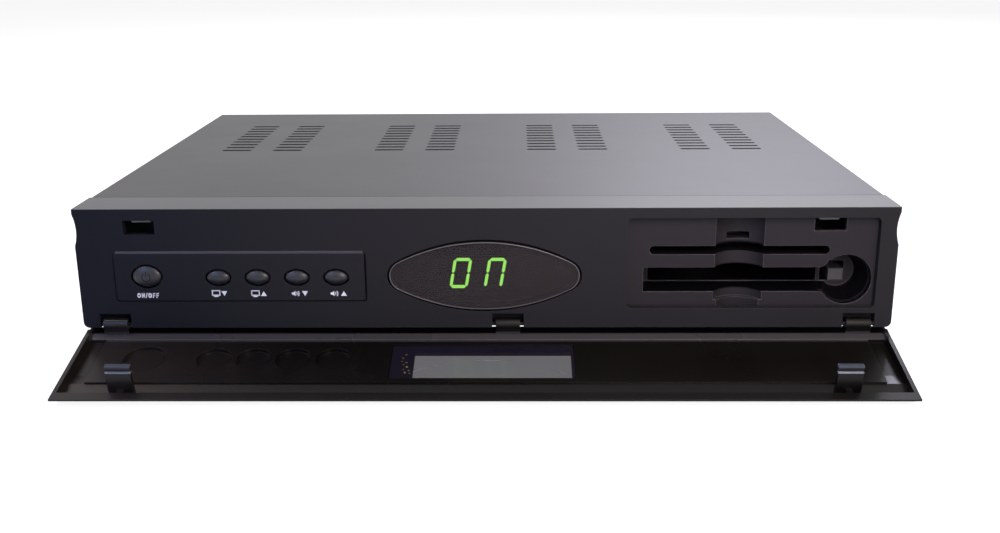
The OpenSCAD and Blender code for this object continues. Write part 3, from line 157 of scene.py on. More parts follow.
# slow change of tone over a surface, a painted highlight on the rounded edges, speckle and specks of dust
def makeDrift():
    tree, given, result = newGroup(
        "toneDrift",
        [("Colour", "NodeSocketColor", (0.05, 0.05, 0.05, 1)), ("Patch mm", "NodeSocketFloat", 30.0),
         ("Amount", "NodeSocketFloat", 0.15), ("Edge", "NodeSocketFloat", 0.0),
         ("Painted edge highlight", "NodeSocketFloat", 0.3), ("Grain", "NodeSocketFloat", 0.5),
         ("Speckle", "NodeSocketFloat", 0.0), ("Dust", "NodeSocketFloat", 0.0)],
        [("Colour", "NodeSocketColor"), ("Patches", "NodeSocketFloat")])
    coords = tree.nodes.new("ShaderNodeTexCoord").outputs["Object"]
    patches = noiseNode(tree, coords, mathNode(tree, "DIVIDE", 1 / mm, given.outputs["Patch mm"]), 4.0, 0.6)
    swing = mathNode(tree, "MULTIPLY_ADD", mathNode(tree, "SUBTRACT", patches, 0.5),
                     given.outputs["Amount"], 1.0)
    spots = mathNode(tree, "MULTIPLY_ADD", mathNode(tree, "SUBTRACT", given.outputs["Grain"], 0.5),
                     given.outputs["Speckle"], swing)
    # the edge mask lightens the colour: a painted highlight along rounded edges
    level = mathNode(tree, "MULTIPLY_ADD", given.outputs["Edge"], given.outputs["Painted edge highlight"], spots)
    tone = tree.nodes.new("ShaderNodeVectorMath")
    tone.operation = "SCALE"
    tree.links.new(given.outputs["Colour"], tone.inputs[0])
    tree.links.new(level, tone.inputs["Scale"])
    specks = noiseNode(tree, coords, mathNode(tree, "MULTIPLY", 1.4, 1 / mm), 2.0, 0.5)
    dusty = mathNode(tree, "MULTIPLY", rangeNode(tree, specks, 0.66, 0.74), given.outputs["Dust"])
    mix = tree.nodes.new("ShaderNodeMix")
    mix.data_type = "RGBA"
    mix.inputs["B"].default_value = (0.4, 0.38, 0.36, 1)
    tree.links.new(dusty, mix.inputs["Factor"])
    tree.links.new(tone.outputs[0], mix.inputs["A"])
    tree.links.new(mix.outputs["Result"], result.inputs["Colour"])
    tree.links.new(patches, result.inputs["Patches"])
    return tree


# one inside a box in the part's frame and zero outside it, with soft sides
def makeZone():
    tree, given, result = newGroup(
        "boxZone",
        [("Middle", "NodeSocketVector", (0, 0, 0)), ("Half size", "NodeSocketVector", (0.01, 0.01, 0.01)),
         ("Soft mm", "NodeSocketFloat", 0.5)],
        [("Mask", "NodeSocketFloat")])
    coords = tree.nodes.new("ShaderNodeTexCoord").outputs["Object"]
    fromMiddle = tree.nodes.new("ShaderNodeVectorMath")
    fromMiddle.operation = "SUBTRACT"
    tree.links.new(coords, fromMiddle.inputs[0])
    tree.links.new(given.outputs["Middle"], fromMiddle.inputs[1])
    away = tree.nodes.new("ShaderNodeVectorMath")
    away.operation = "ABSOLUTE"
    tree.links.new(fromMiddle.outputs[0], away.inputs[0])
    past = tree.nodes.new("ShaderNodeVectorMath")
    past.operation = "SUBTRACT"
    tree.links.new(away.outputs[0], past.inputs[0])
    tree.links.new(given.outputs["Half size"], past.inputs[1])
    parts = tree.nodes.new("ShaderNodeSeparateXYZ")
    tree.links.new(past.outputs[0], parts.inputs[0])
    worst = mathNode(tree, "MAXIMUM", parts.outputs[0],
                     mathNode(tree, "MAXIMUM", parts.outputs[1], parts.outputs[2]))
    fade = mathNode(tree, "DIVIDE", worst, mathNode(tree, "MULTIPLY", given.outputs["Soft mm"], mm))
    tree.links.new(rangeNode(tree, fade, 0.5, -0.5), result.inputs["Mask"])
    return tree


grainGroup = makeGrain()
driftGroup = makeDrift()
zoneGroup = makeZone()


def placeGroup(tree, group, values):
    node = tree.nodes.new("ShaderNodeGroup")
    node.node_tree = group
    for label, value in values.items():
        node.inputs[label].default_value = value
    return node


# grain, tone, a painted highlight on the edges, roughness that varies with the tone, and painted light and
# shade inside boxes
def makeMaterial(name, spec):
    mat = bpy.data.materials.new(name)
    mat.use_nodes = True
    tree, links = mat.node_tree, mat.node_tree.links
    shader = tree.nodes["Principled BSDF"]
    grain = placeGroup(tree, grainGroup, {
        "Grains per mm": spec.get("grains", 3.0), "Height mm": spec.get("height", 0.01),
        "Rounding mm": spec.get("rounding", 0.25)})
    drift = placeGroup(tree, driftGroup, {
        "Colour": (*spec["colour"], 1), "Patch mm": spec.get("patch", 30.0),
        "Amount": spec.get("amount", 0.2),
        "Painted edge highlight": spec.get("paintedEdgeHighlight", 0.4), "Speckle": spec.get("speckle", 0.0),
        "Dust": spec.get("dust", 0.0)})
    links.new(grain.outputs["Edge"], drift.inputs["Edge"])
    links.new(grain.outputs["Grain"], drift.inputs["Grain"])
    links.new(grain.outputs["Normal"], shader.inputs["Normal"])
    colour = None
    for zone in spec.get("paintedLightZones", ()):
        mask = placeGroup(tree, zoneGroup, {
            "Middle": at(*zone["middle"]), "Half size": [v * mm for v in zone["half"]],
            "Soft mm": zone.get("soft", 0.4)})
        mix = tree.nodes.new("ShaderNodeMix")
        mix.data_type = "RGBA"
        links.new(mask.outputs["Mask"], mix.inputs["Factor"])
        if colour is None:
            mix.inputs["A"].default_value = (*spec["colour"], 1)
        else:
            links.new(colour, mix.inputs["A"])
        mix.inputs["B"].default_value = (*zone["colour"], 1)
        colour = mix.outputs["Result"]
    if colour is not None:
        links.new(colour, drift.inputs["Colour"])
    if "polish" in spec:
        polish = placeGroup(tree, zoneGroup, {
            "Middle": at(*spec["polish"]["middle"]), "Half size": [v * mm for v in spec["polish"]["half"]],
            "Soft mm": spec["polish"]["soft"]})
        links.new(rangeNode(tree, polish.outputs["Mask"], 0, 1, 0, spec["polish"]["weight"]),
                  shader.inputs["Coat Weight"])
    links.new(drift.outputs["Colour"], shader.inputs["Base Color"])
    low, high = spec.get("rough", (0.4, 0.5))
    links.new(rangeNode(tree, drift.outputs["Patches"], 0.3, 0.7, low, high), shader.inputs["Roughness"])
    shader.inputs["Metallic"].default_value = spec.get("metal", 0.0)
    shader.inputs["Specular IOR Level"].default_value = spec.get("gloss", 0.5)
    shader.inputs["Alpha"].default_value = spec.get("alpha", 1.0)
    shader.inputs["Coat Roughness"].default_value = spec.get("coatRough", 0.1)
    if "glow" in spec:
        shader.inputs["Emission Color"].default_value = (*spec["glow"], 1)
        shader.inputs["Emission Strength"].default_value = spec["glowStrength"]
    return mat


# zones are in millimetres from the front face, in the rest pose; they hold tones chosen for the photo's light
finishes = {
    "coverPaint": dict(colour=(0.026, 0.025, 0.028), rough=(0.40, 0.46), gloss=0.3, grains=1.6, height=0.018,
                       rounding=0.4, patch=90, amount=0.12, paintedEdgeHighlight=0.6, speckle=0.5, dust=0.05),
    "frontPlastic": dict(colour=(0.019, 0.0185, 0.021), rough=(0.42, 0.48), gloss=0.08, grains=3.2,
                         height=0.010, rounding=0.25, patch=60, amount=0.08, paintedEdgeHighlight=1.0, coatRough=0.3,
                         polish=dict(middle=(0, 8, 53), half=(131, 9, 0.75), weight=0.6, soft=0.2),
                         # left end darker and bluer as painted shade, upper edge of the button panel as a
                         # painted highlight, painted shade lines round the panel
                         paintedLightZones=[dict(middle=(-200, 0, 0), half=(100, 200, 200), soft=90,
                                     colour=(0.008, 0.0095, 0.016)),
                                # painted highlight along the top ledge of the raised button panel
                                dict(middle=(-78, -0.4, 38.35), half=(39.4, 0.6, 0.32), soft=0.3,
                                     colour=(0.07, 0.067, 0.08)),
                                # painted shade: near-black lines along the panel's left, right and lower edges
                                *[dict(middle=m, half=h, soft=0.1, colour=(0.001, 0.001, 0.0015))
                                  for m, h in (((-118.15, 0, 30), (0.25, 1, 8)),
                                               ((-37.85, 0, 30), (0.25, 1, 8)),
                                               ((-78, 0, 22.15), (40, 1, 0.25)))]]),
    "insertPlastic": dict(colour=(0.024, 0.0215, 0.025), rough=(0.42, 0.5), gloss=0.08, grains=3.2,
                          height=0.010, rounding=0.3, patch=40, amount=0.1, paintedEdgeHighlight=5.0,
                          # painted shade inside the pocket, the round well and the chip card slot
                          paintedLightZones=[dict(middle=m, half=h, colour=(0.0022, 0.0019, 0.0026), soft=0.3)
                                 for m, h in (((81.8, 8.5, 28.1), (31.5, 5.1, 4.3)),
                                              ((115.2, 8.5, 28.1), (8.4, 5.1, 8.4)),
                                              ((80.5, 9.0, 38.0), (30, 5.5, 1.7)))]),
    "buttonPlastic": dict(colour=(0.017, 0.017, 0.022), rough=(0.32, 0.38), gloss=0.4, grains=2.0,
                          height=0.002, rounding=0.1, patch=6, amount=0.1, paintedEdgeHighlight=0.2),
    "ejectPlastic": dict(colour=(0.075, 0.075, 0.082), rough=(0.36, 0.42), gloss=0.3, grains=3.0,
                         height=0.006, rounding=0.25, patch=6, amount=0.12, paintedEdgeHighlight=0.6),
    "flapPlastic": dict(colour=(0.0036, 0.0029, 0.0027), rough=(0.24, 0.34), gloss=0.2, grains=1.5,
                        height=0.003, rounding=0.2, patch=45, amount=0.2, paintedEdgeHighlight=1.2, dust=0.02,
                        # painted light on the left end and on the strip by the hinge, painted shade in the dark
                        # band behind it, painted highlights on the ledges of the hooks
                        paintedLightZones=[dict(middle=(-200, 0, 0), half=(105, 200, 200), soft=70,
                                    colour=(0.018, 0.0145, 0.0142)),
                               # painted light on the strip by the hinge
                               dict(middle=(0, -1.9, 10.5), half=(129.5, 1.7, 1.15), soft=0.3,
                                    colour=(0.042, 0.040, 0.042)),
                               # painted shade in the gap behind the hinge strip
                               dict(middle=(0, 1.4, 10.8), half=(129.5, 1.3, 1.4), soft=0.3,
                                    colour=(0.0008, 0.0007, 0.0008)),
                               # painted highlights on the top band of each hook's head and on its ledge
                               *[dict(middle=(x, -30.2, z), half=(4.6, 3.2, h), soft=0.15, colour=c)
                                 for x in (-108.8, 108.8)
                                 for z, h, c in ((9.95, 0.22, (0.22, 0.24, 0.28)),
                                                 (12.0, 0.5, (0.045, 0.055, 0.075)))]]),
    "windowPlastic": dict(colour=(0.014, 0.012, 0.023), rough=(0.1, 0.16), gloss=0.4, grains=0.8,
                          height=0.002, rounding=0.1, patch=18, amount=0.3, alpha=0.64),
    "gluePale": dict(colour=(0.25, 0.24, 0.27), rough=(0.3, 0.4), grains=3.0, height=0.01, rounding=0.02,
                     patch=1.5, amount=0.6, alpha=0.55),
    "glueYellow": dict(colour=(0.16, 0.14, 0.05), rough=(0.3, 0.4), grains=3.0, height=0.02, rounding=0.02,
                       patch=0.8, amount=0.8),
    "displayPlastic": dict(colour=(0.02, 0.016, 0.016), rough=(0.5, 0.6), gloss=0.2, grains=1.0, height=0.001,
                           patch=40, amount=0.05, rounding=0.05, paintedEdgeHighlight=0.0),
    "litBar": dict(colour=(0.3, 0.7, 0.15), rough=(0.4, 0.5), glow=(0.40, 1.0, 0.14), glowStrength=4.6,
                   patch=4, rounding=0.05),
    "darkBar": dict(colour=(0.03, 0.024, 0.024), rough=(0.35, 0.45), gloss=0.3, patch=4, rounding=0.05),
    "greenBoard": dict(colour=(0.02, 0.09, 0.035), rough=(0.3, 0.45), grains=1.2, height=0.02, patch=8,
                       amount=0.5),
    "frontBoard": dict(colour=(0.003, 0.009, 0.005), rough=(0.4, 0.5), gloss=0.2, grains=1.2, height=0.02,
                       patch=8, amount=0.5),
    "brownBoard": dict(colour=(0.22, 0.13, 0.05), rough=(0.5, 0.6), grains=1.2, height=0.02, patch=8,
                       amount=0.4),
    "blackPlastic": dict(colour=(0.018, 0.018, 0.02), rough=(0.38, 0.5), gloss=0.35, grains=3.0, height=0.008,
                         patch=10, amount=0.15, paintedEdgeHighlight=0.8),
    "zincSheet": dict(colour=(0.50, 0.51, 0.52), rough=(0.26, 0.44), metal=1.0, grains=0.9, height=0.004,
                      rounding=0.2, patch=14, amount=0.3),
    "finMetal": dict(colour=(0.58, 0.59, 0.61), rough=(0.3, 0.45), metal=1.0, grains=2.0, height=0.006,
                     patch=8),
    "nickel": dict(colour=(0.62, 0.61, 0.57), rough=(0.14, 0.24), metal=1.0, grains=1.2, height=0.002,
                   patch=5),
    "catchPlastic": dict(colour=(0.18, 0.18, 0.19), rough=(0.3, 0.4), gloss=0.3, grains=2.0, height=0.004,
                         patch=5),
    # cage and pins are drawn darker than bright steel, as they look in the photo
    # the cage's near-black colour is painted shade for the dark card opening
    "cageSteel": dict(colour=(0.05, 0.05, 0.052), rough=(0.35, 0.45), metal=1.0, grains=0.9, height=0.004,
                      patch=14, amount=0.3),
    "pinSteel": dict(colour=(0.012, 0.012, 0.013), rough=(0.5, 0.6), gloss=0.1, patch=5),
    "windingTape": dict(colour=(0.5, 0.36, 0.06), rough=(0.35, 0.5), grains=0.7, height=0.05, patch=6,
                        amount=0.5),
    "capSleeve": dict(colour=(0.012, 0.02, 0.075), rough=(0.2, 0.3), grains=1.0, height=0.004, patch=8),
    "greyCable": dict(colour=(0.4, 0.41, 0.43), rough=(0.4, 0.5), grains=0.8, height=0.05, patch=4,
                      amount=0.3),
    "redLead": dict(colour=(0.4, 0.03, 0.02), rough=(0.3, 0.4), patch=5),
    "brassPost": dict(colour=(0.75, 0.55, 0.22), rough=(0.2, 0.32), metal=1.0, patch=4),
    "screwZinc": dict(colour=(0.55, 0.55, 0.53), rough=(0.22, 0.34), metal=1.0, grains=1.5, height=0.006,
                      rounding=0.2, patch=3),
    "screwBlack": dict(colour=(0.02, 0.02, 0.021), rough=(0.28, 0.4), grains=1.5, height=0.008,
                       rounding=0.2, patch=3, paintedEdgeHighlight=1.5),
    "padRubber": dict(colour=(0.016, 0.016, 0.016), rough=(0.65, 0.8), gloss=0.2, grains=1.6, height=0.03,
                      patch=6, dust=0.1),
    "lensTint": dict(colour=(0.030, 0.023, 0.025), rough=(0.22, 0.26), gloss=0.2, grains=1.0, height=0.0,
                     rounding=0.02, patch=60, amount=0.05, paintedEdgeHighlight=0.0, alpha=0.6),
    "lensRim": dict(colour=(0.09, 0.086, 0.092), rough=(0.2, 0.26), gloss=0.5, grains=1.5, height=0.002,
                    rounding=0.05, patch=10, amount=0.3, paintedEdgeHighlight=0.3),
    "lensGroove": dict(colour=(0.002, 0.002, 0.002), rough=(0.6, 0.7), gloss=0.05, grains=2.0, height=0.004,
                       rounding=0.02, patch=10, amount=0.2, paintedEdgeHighlight=0.0),
    "printWhite": dict(colour=(0.95, 0.95, 0.98), rough=(0.5, 0.6), gloss=0.2, grains=4.0, height=0.004,
                       rounding=0.02, patch=1.2, amount=0.12),
    "printGrey": dict(colour=(0.007, 0.007, 0.009), rough=(0.4, 0.5), gloss=0.15, grains=4.0, height=0.004,
                      rounding=0.02, patch=1.2, amount=0.1),
    "videoRing": dict(colour=(0.6, 0.42, 0.02), rough=(0.35, 0.45), patch=3),
    "leftRing": dict(colour=(0.62, 0.62, 0.6), rough=(0.35, 0.45), patch=3),
    "rightRing": dict(colour=(0.45, 0.015, 0.01), rough=(0.35, 0.45), patch=3),
}
materials = {name: makeMaterial(name, spec) for name, spec in finishes.items()}

nodesByFinish = {
    "zincSheet": "chassis_base rear_panel eject_lever card_pusher tuner_can",
    "cageSteel": "ci_cage",
    "coverPaint": "top_cover",
    "frontPlastic": "front_bezel",
    "insertPlastic": "card_bay",
    "displayPlastic": "display_module",
    "lensTint": "display_lens",
    "litBar": "lit_segments",
    "darkBar": "dark_segments",
    "greenBoard": "main_board",
    "frontBoard": "front_board",
    "brownBoard": "psu_board",
    "blackPlastic": "tact_switches ir_receiver ci_header smartcard_reader main_chips scart_sockets rca_jacks "
                    "mains_inlet power_switch_body power_rocker feet",
    "buttonPlastic": "standby_button channel_down_button channel_up_button volume_down_button "
                     "volume_up_button",
    "ejectPlastic": "eject_button",
    "flapPlastic": "flap_door",
    "windowPlastic": "flap_window",
    "pinSteel": "hinge_pins",
    "catchPlastic": "latch_catches",
    "finMetal": "chip_heat_sink psu_heat_sink",
    "nickel": "f_connectors serial_port fuse_holder",
    "windingTape": "transformer",
    "capSleeve": "capacitors",
    "greyCable": "ribbon_cable",
    "redLead": "power_harness",
    "brassPost": "standoffs",
    "screwZinc": "board_screws foot_screws",
    "screwBlack": "cover_screws rear_screws",
    "padRubber": "rubber_pads",
}
for finish, names in nodesByFinish.items():
    for node in names.split():
        for slot in nodes[node].material_slots:
            slot.material = materials[finish]
print("materials set")


def newPiece(name, mesh, finish, body, smooth=False):
    mesh.update()
    piece = bpy.data.objects.new(name, mesh)
    bpy.context.collection.objects.link(piece)
    mesh.materials.append(materials[finish])
    if smooth:
        for face in mesh.polygons:
            face.use_smooth = True
    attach(piece, body)
    return piece


# points of a four-arc oval, anticlockwise seen from the front
def ovalPoints(w, h, share, n=24):
    a, b = w / 2, h / 2
    r1 = b * share
    r2 = ((a - r1) ** 2 + b * b - r1 * r1) / (2 * (b - r1))
    turn = math.acos((a - r1) / (r2 - r1))
    quarter = []
    for i in range(n + 1):
        f = turn * i / n
        quarter.append((a - r1 + r1 * math.cos(f), r1 * math.sin(f)))
    for i in range(1, n + 1):
        f = turn + (math.pi / 2 - turn) * i / n
        quarter.append((r2 * math.cos(f), b - r2 + r2 * math.sin(f)))
    half = quarter + [(-x, z) for x, z in reversed(quarter[:-1])]
    return half + [(-x, -z) for x, z in half[1:-1]]


def circlePoints(r, n):
    return [(r * math.cos(2 * math.pi * i / n), r * math.sin(2 * math.pi * i / n)) for i in range(n)]


# a mesh from rings of points with the same count, bridged in order
def ringMesh(name, rings, closed=True):
    bm = bmesh.new()
    made = [[bm.verts.new(p) for p in ring] for ring in rings]
    count = len(rings[0])
    for low, high in zip(made, made[1:]):
        for i in range(count):
            j = (i + 1) % count
            bm.faces.new((low[i], low[j], high[j], high[i]))
    if closed:
        bm.faces.new(list(reversed(made[0])))
        bm.faces.new(made[-1])
    bmesh.ops.recalc_face_normals(bm, faces=bm.faces)
    mesh = bpy.data.meshes.new(name)
    bm.to_mesh(mesh)
    bm.free()
    return mesh


# thin plates from outlines; place turns an outline's two numbers and a height into a point
def platesMesh(name, outlines, place, low, high):
    bm = bmesh.new()
    for outline in outlines:
        under = [bm.verts.new(place(a, b, low)) for a, b in outline]
        over = [bm.verts.new(place(a, b, high)) for a, b in outline]
        bm.faces.new(over)
        bm.faces.new(list(reversed(under)))
        for i in range(len(outline)):
            j = (i + 1) % len(outline)
            bm.faces.new((over[i], over[j], under[j], under[i]))
    bmesh.ops.recalc_face_normals(bm, faces=bm.faces)
    mesh = bpy.data.meshes.new(name)
    bm.to_mesh(mesh)
    bm.free()
    return mesh


# printed marks on a face that looks to the front
def frontPrint(name, outlines, y, finish, body):
    mesh = platesMesh(name, outlines, lambda x, z, d: at(x, y - d, z), -printSink, printProud)
    return newPiece(name, mesh, finish, body)


def bar(x0, z0, x1, z1, t):
    n = Vector((z0 - z1, x1 - x0)).normalized() * t / 2
    return [(x0 - n.x, z0 - n.y), (x1 - n.x, z1 - n.y), (x1 + n.x, z1 + n.y), (x0 + n.x, z0 + n.y)]


# a ring, or part of one, as short bars
def ringBars(cx, cz, w, h, t, start=0.0, end=360.0, n=20):
    inner = (w - t * 2) / w
    bars = []
    for i in range(n):
        a = math.radians(start + (end - start) * i / n)
        b = math.radians(start + (end - start) * (i + 1) / n)
        bars.append([(cx + w / 2 * k * math.cos(s), cz + h / 2 * k * math.sin(s))
                     for k, s in ((inner, a), (1, a), (1, b), (inner, b))])
    return bars


markPlan = dict(panelY=-0.6, screens=[(-85.97, 24.74), (-73.31, 24.69)],
                speakers=[(-60.35, 24.69), (-47.9, 24.69)],
                arrowStep=2.65, arrow=1.9, screenSize=(2.4, 1.5), line=0.34, word="ON/OFF", wordMiddle=-107.8,
                wordZ=23.3, wordHeight=1.65, wordLine=0.34)


def triangle(cx, cz, w, up):
    s = 0.42 * w if up else -0.42 * w
    return [(cx - w / 2, cz - s), (cx + w / 2, cz - s), (cx, cz + s)]


# a small picture of a screen on its foot
def screenBars(cx, cz, size, t):
    w, h = size
    x0, x1, z0, z1 = cx - w / 2, cx + w / 2, cz - h / 2 + 0.2, cz + h / 2 + 0.2
    return [bar(x0 - t / 2, z0, x1 + t / 2, z0, t), bar(x0 - t / 2, z1, x1 + t / 2, z1, t),
            bar(x0, z0, x0, z1, t), bar(x1, z0, x1, z1, t),
            bar(cx - 0.7, z0 - 0.42, cx + 0.7, z0 - 0.42, t)]


# a small picture of a loudspeaker with two waves
def speakerBars(cx, cz, t):
    horn = [[(cx - 1.3, cz - 0.35), (cx - 0.8, cz - 0.35), (cx - 0.8, cz + 0.35), (cx - 1.3, cz + 0.35)],
            [(cx - 0.8, cz - 0.35), (cx - 0.1, cz - 0.9), (cx - 0.1, cz + 0.9), (cx - 0.8, cz + 0.35)]]
    return horn + ringBars(cx - 0.2, cz, 1.5, 1.5, t * 0.8, -48, 48, 5) \
        + ringBars(cx - 0.2, cz, 2.7, 2.7, t * 0.8, -42, 42, 6)


# plain capitals made of bars, and the width that they take
def letterBars(word, x, z, h, t):
    bars = []
    w = h * 0.62
    for letter in word:
        if letter == "O":
            bars += ringBars(x + w * 0.58, z + h / 2, w * 1.16, h, t, n=18)
            x += w * 1.16 + h * 0.16
        elif letter == "N":
            bars += [bar(x + t / 2, z, x + t / 2, z + h, t), bar(x + w - t / 2, z, x + w - t / 2, z + h, t),
                     bar(x + t / 2, z + h, x + w - t / 2, z, t * 1.05)]
            x += w + h * 0.16
        elif letter == "F":
            bars += [bar(x + t / 2, z, x + t / 2, z + h, t),
                     bar(x, z + h - t / 2, x + w * 0.85, z + h - t / 2, t),
                     bar(x, z + h * 0.5, x + w * 0.75, z + h * 0.5, t)]
            x += w * 0.85 + h * 0.16
        elif letter == "/":
            bars += [bar(x, z - h * 0.05, x + w * 0.55, z + h * 1.05, t * 0.8)]
            x += w * 0.55 + h * 0.14
    return bars, x


def makeMarks(plan):
    marks = []
    for i, (x, z) in enumerate(plan["screens"]):
        marks += screenBars(x, z, plan["screenSize"], plan["line"])
        marks += [triangle(x + plan["arrowStep"], z, plan["arrow"], i == 1)]
    for i, (x, z) in enumerate(plan["speakers"]):
        marks += speakerBars(x, z, plan["line"])
        marks += [triangle(x + plan["arrowStep"] + 0.3, z, plan["arrow"], i == 1)]
    frontPrint("keyMarks", marks, plan["panelY"], "printWhite", "case")
    bars, width = letterBars(plan["word"], 0, 0, plan["wordHeight"], plan["wordLine"])
    left = plan["wordMiddle"] - width / 2
    bars = [[(x + left, z + plan["wordZ"]) for x, z in outline] for outline in bars]
    frontPrint("onOffMark", bars, plan["panelY"], "printWhite", "case")


makeMarks(markPlan)
print("marks made")


capPlan = dict(share=0.7, crown=1.45, wallBack=3.1, flange=1.05, flangeBack=4.0, stem=1.5, levels=14,
               domeStart=4, domeTurn=82, standbySize=(9.2, 7.0), smallSize=(7.4, 4.7))  # dome angles in degrees


# push-button caps: a deep dome on an oval wall, with the flange and stem behind the panel
def makeCap(name, node, size, plan):
    low, high = boxOf(node)
    cx, cz = (low[0] + high[0]) / 2, (low[2] + high[2]) / 2
    front, back = low[1], high[1]
    w, h = size
    wall = ovalPoints(w, h, plan["share"])
    grown = ovalPoints(w + 2 * plan["flange"], h + 2 * plan["flange"], plan["share"])
    stem = circlePoints(plan["stem"], len(wall))
    levels = [(stem, back), (stem, plan["flangeBack"]), (grown, plan["flangeBack"]),
              (grown, plan["wallBack"]), (wall, plan["wallBack"])]
    start, end = plan["domeStart"], plan["domeStart"] + plan["domeTurn"]
    for i in range(plan["levels"] + 1):
        turn = math.radians(start + plan["domeTurn"] * i / plan["levels"])
        reach = math.cos(turn) / math.cos(math.radians(start))
        depth = front + plan["crown"] * (1 - math.sin(turn) / math.sin(math.radians(end)))
        levels.append(([(x * reach, z * reach) for x, z in wall], depth))
    rings = [[at(cx + x, y, cz + z) for x, z in outline] for outline, y in levels]
    mesh = ringMesh(name, rings)
    piece = newPiece(name, mesh, "buttonPlastic", node)
    for face in mesh.polygons:
        face.use_smooth = (face.center.y - frontY) / mm < front + plan["crown"]
    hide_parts(node)
    return cx, cz, front


caps = [("standbyCap", "standby_button"), ("channelDownCap", "channel_down_button"),
        ("channelUpCap", "channel_up_button"), ("volumeDownCap", "volume_down_button"),
        ("volumeUpCap", "volume_up_button")]
for i, (name, node) in enumerate(caps):
    place = makeCap(name, node, capPlan["standbySize" if i == 0 else "smallSize"], capPlan)
    if i == 0:
        standbyPlace = place

powerPlan = dict(size=2.9, line=0.26, raised=0.35, sink=0.12, stroke=1.7, strokeParts=4, gap=(122, 418))


# the on and off symbol, pressed into the dome: short bars that follow its curve
def makePowerMark(place, plan):
    cx, cz, front = place
    w, h = capPlan["standbySize"]
    bm = bmesh.new()

    def onDome(x, z, lift):
        reach = min(1.0, math.hypot(2 * x / w, 2 * z / h))
        return at(cx + x, front + capPlan["crown"] * (1 - math.sqrt(1 - reach * reach)) - lift, cz + z)

    bars = ringBars(0, 0, plan["size"], plan["size"], plan["line"], *plan["gap"], 24)
    top = plan["size"] / 2 + plan["raised"]
    for i in range(plan["strokeParts"]):
        high, low = (top - plan["stroke"] * k / plan["strokeParts"] for k in (i, i + 1))
        bars.append(bar(0, high, 0, low, plan["line"]))
    for outline in bars:
        over = [bm.verts.new(onDome(x, z, printProud)) for x, z in outline]
        under = [bm.verts.new(onDome(x, z, -plan["sink"])) for x, z in outline]
        bm.faces.new(over)
        bm.faces.new(list(reversed(under)))
        for i in range(4):
            bm.faces.new((over[i], over[(i + 1) % 4], under[(i + 1) % 4], under[i]))
    bmesh.ops.recalc_face_normals(bm, faces=bm.faces)
    mesh = bpy.data.meshes.new("standbyMark")
    bm.to_mesh(mesh)
    bm.free()
    newPiece("standbyMark", mesh, "printGrey", "standby_button")


makePowerMark(standbyPlace, powerPlan)
print("caps made")


lensPlan = dict(share=0.45, middle=30.3, width=61.2, height=23.0,
                levels=[  # shrink, depth behind the front face, finish of the band up to this level
                    (0.0, 1.5, "lensGroove"), (0.0, 0.55, "lensGroove"), (0.5, 0.55, "lensGroove"),
                    (0.55, -0.2, "lensGroove"), (0.75, -0.42, "lensRim"), (1.05, -0.49, "lensRim"),
                    (1.35, -0.44, "lensRim"), (1.6, -0.3, "lensTint"), (2.4, -0.26, "lensTint"),
                    (6.0, -0.3, "lensTint"), (12.0, -0.33, "lensTint")])


# oval lens: dark groove, rounded rim and a nearly flat tinted face
def makeLens(plan):
    rings = []
    for shrink, y, finish in plan["levels"]:
        outline = ovalPoints(plan["width"] - shrink, plan["height"] - shrink, plan["share"])
        rings.append([at(x, y, z + plan["middle"]) for x, z in outline])
    mesh = ringMesh("frontLens", rings)
    piece = newPiece("frontLens", mesh, "lensTint", "case")
    for finish in ("lensRim", "lensGroove"):
        mesh.materials.append(materials[finish])
    index = {"lensTint": 0, "lensRim": 1, "lensGroove": 2}
    count = len(rings[0])
    for i, face in enumerate(mesh.polygons):
        band = i // count + 1
        face.use_smooth = band < len(rings) and band > 3
        face.material_index = index[plan["levels"][min(band, len(rings) - 1)][2]]
    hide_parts("display_lens")


makeLens(lensPlan)
print("lens made")


flapPlan = dict(tilt=14.3142, hingeY=1.05, hingeZ=13.85, paneTop=-3.55)


# a point on the flap: x, distance from the hinge line, height above the pane's face
def onFlap(x, s, lift):
    turn = math.radians(flapPlan["tilt"])
    y, z = -s, flapPlan["paneTop"] + lift
    return at(x, flapPlan["hingeY"] + y * math.cos(turn) - z * math.sin(turn),
              flapPlan["hingeZ"] + y * math.sin(turn) + z * math.cos(turn))


glueTraces = [  # pale lines left by glue on the pane: x, distance from the hinge line, width
    [(-21.8, 21.6, 0.5), (-19.4, 19.9, 0.32), (-16.2, 18.6, 0.26), (-13.4, 17.6, 0.2), (-10.8, 17.0, 0.1)],
    [(-2.4, 15.6, 0.1), (-0.6, 15.4, 0.24), (1.6, 15.6, 0.3), (4.4, 15.5, 0.26), (7.0, 16.0, 0.1)],
    [(21.2, 20.0, 0.1), (22.4, 20.6, 0.24), (23.8, 21.6, 0.3), (24.8, 22.3, 0.12)],
]
glueFlecks = [  # x, distance from the hinge line, radius
    (-24.6, 12.4, 0.28), (-25.4, 14.2, 0.36), (-24.2, 16.6, 0.42), (-25.0, 17.8, 0.3), (-23.9, 18.9, 0.55),
    (-24.9, 20.2, 0.3), (-23.2, 20.9, 0.4), (-24.3, 21.9, 0.5), (-22.8, 22.3, 0.36), (-25.6, 16.0, 0.2)]


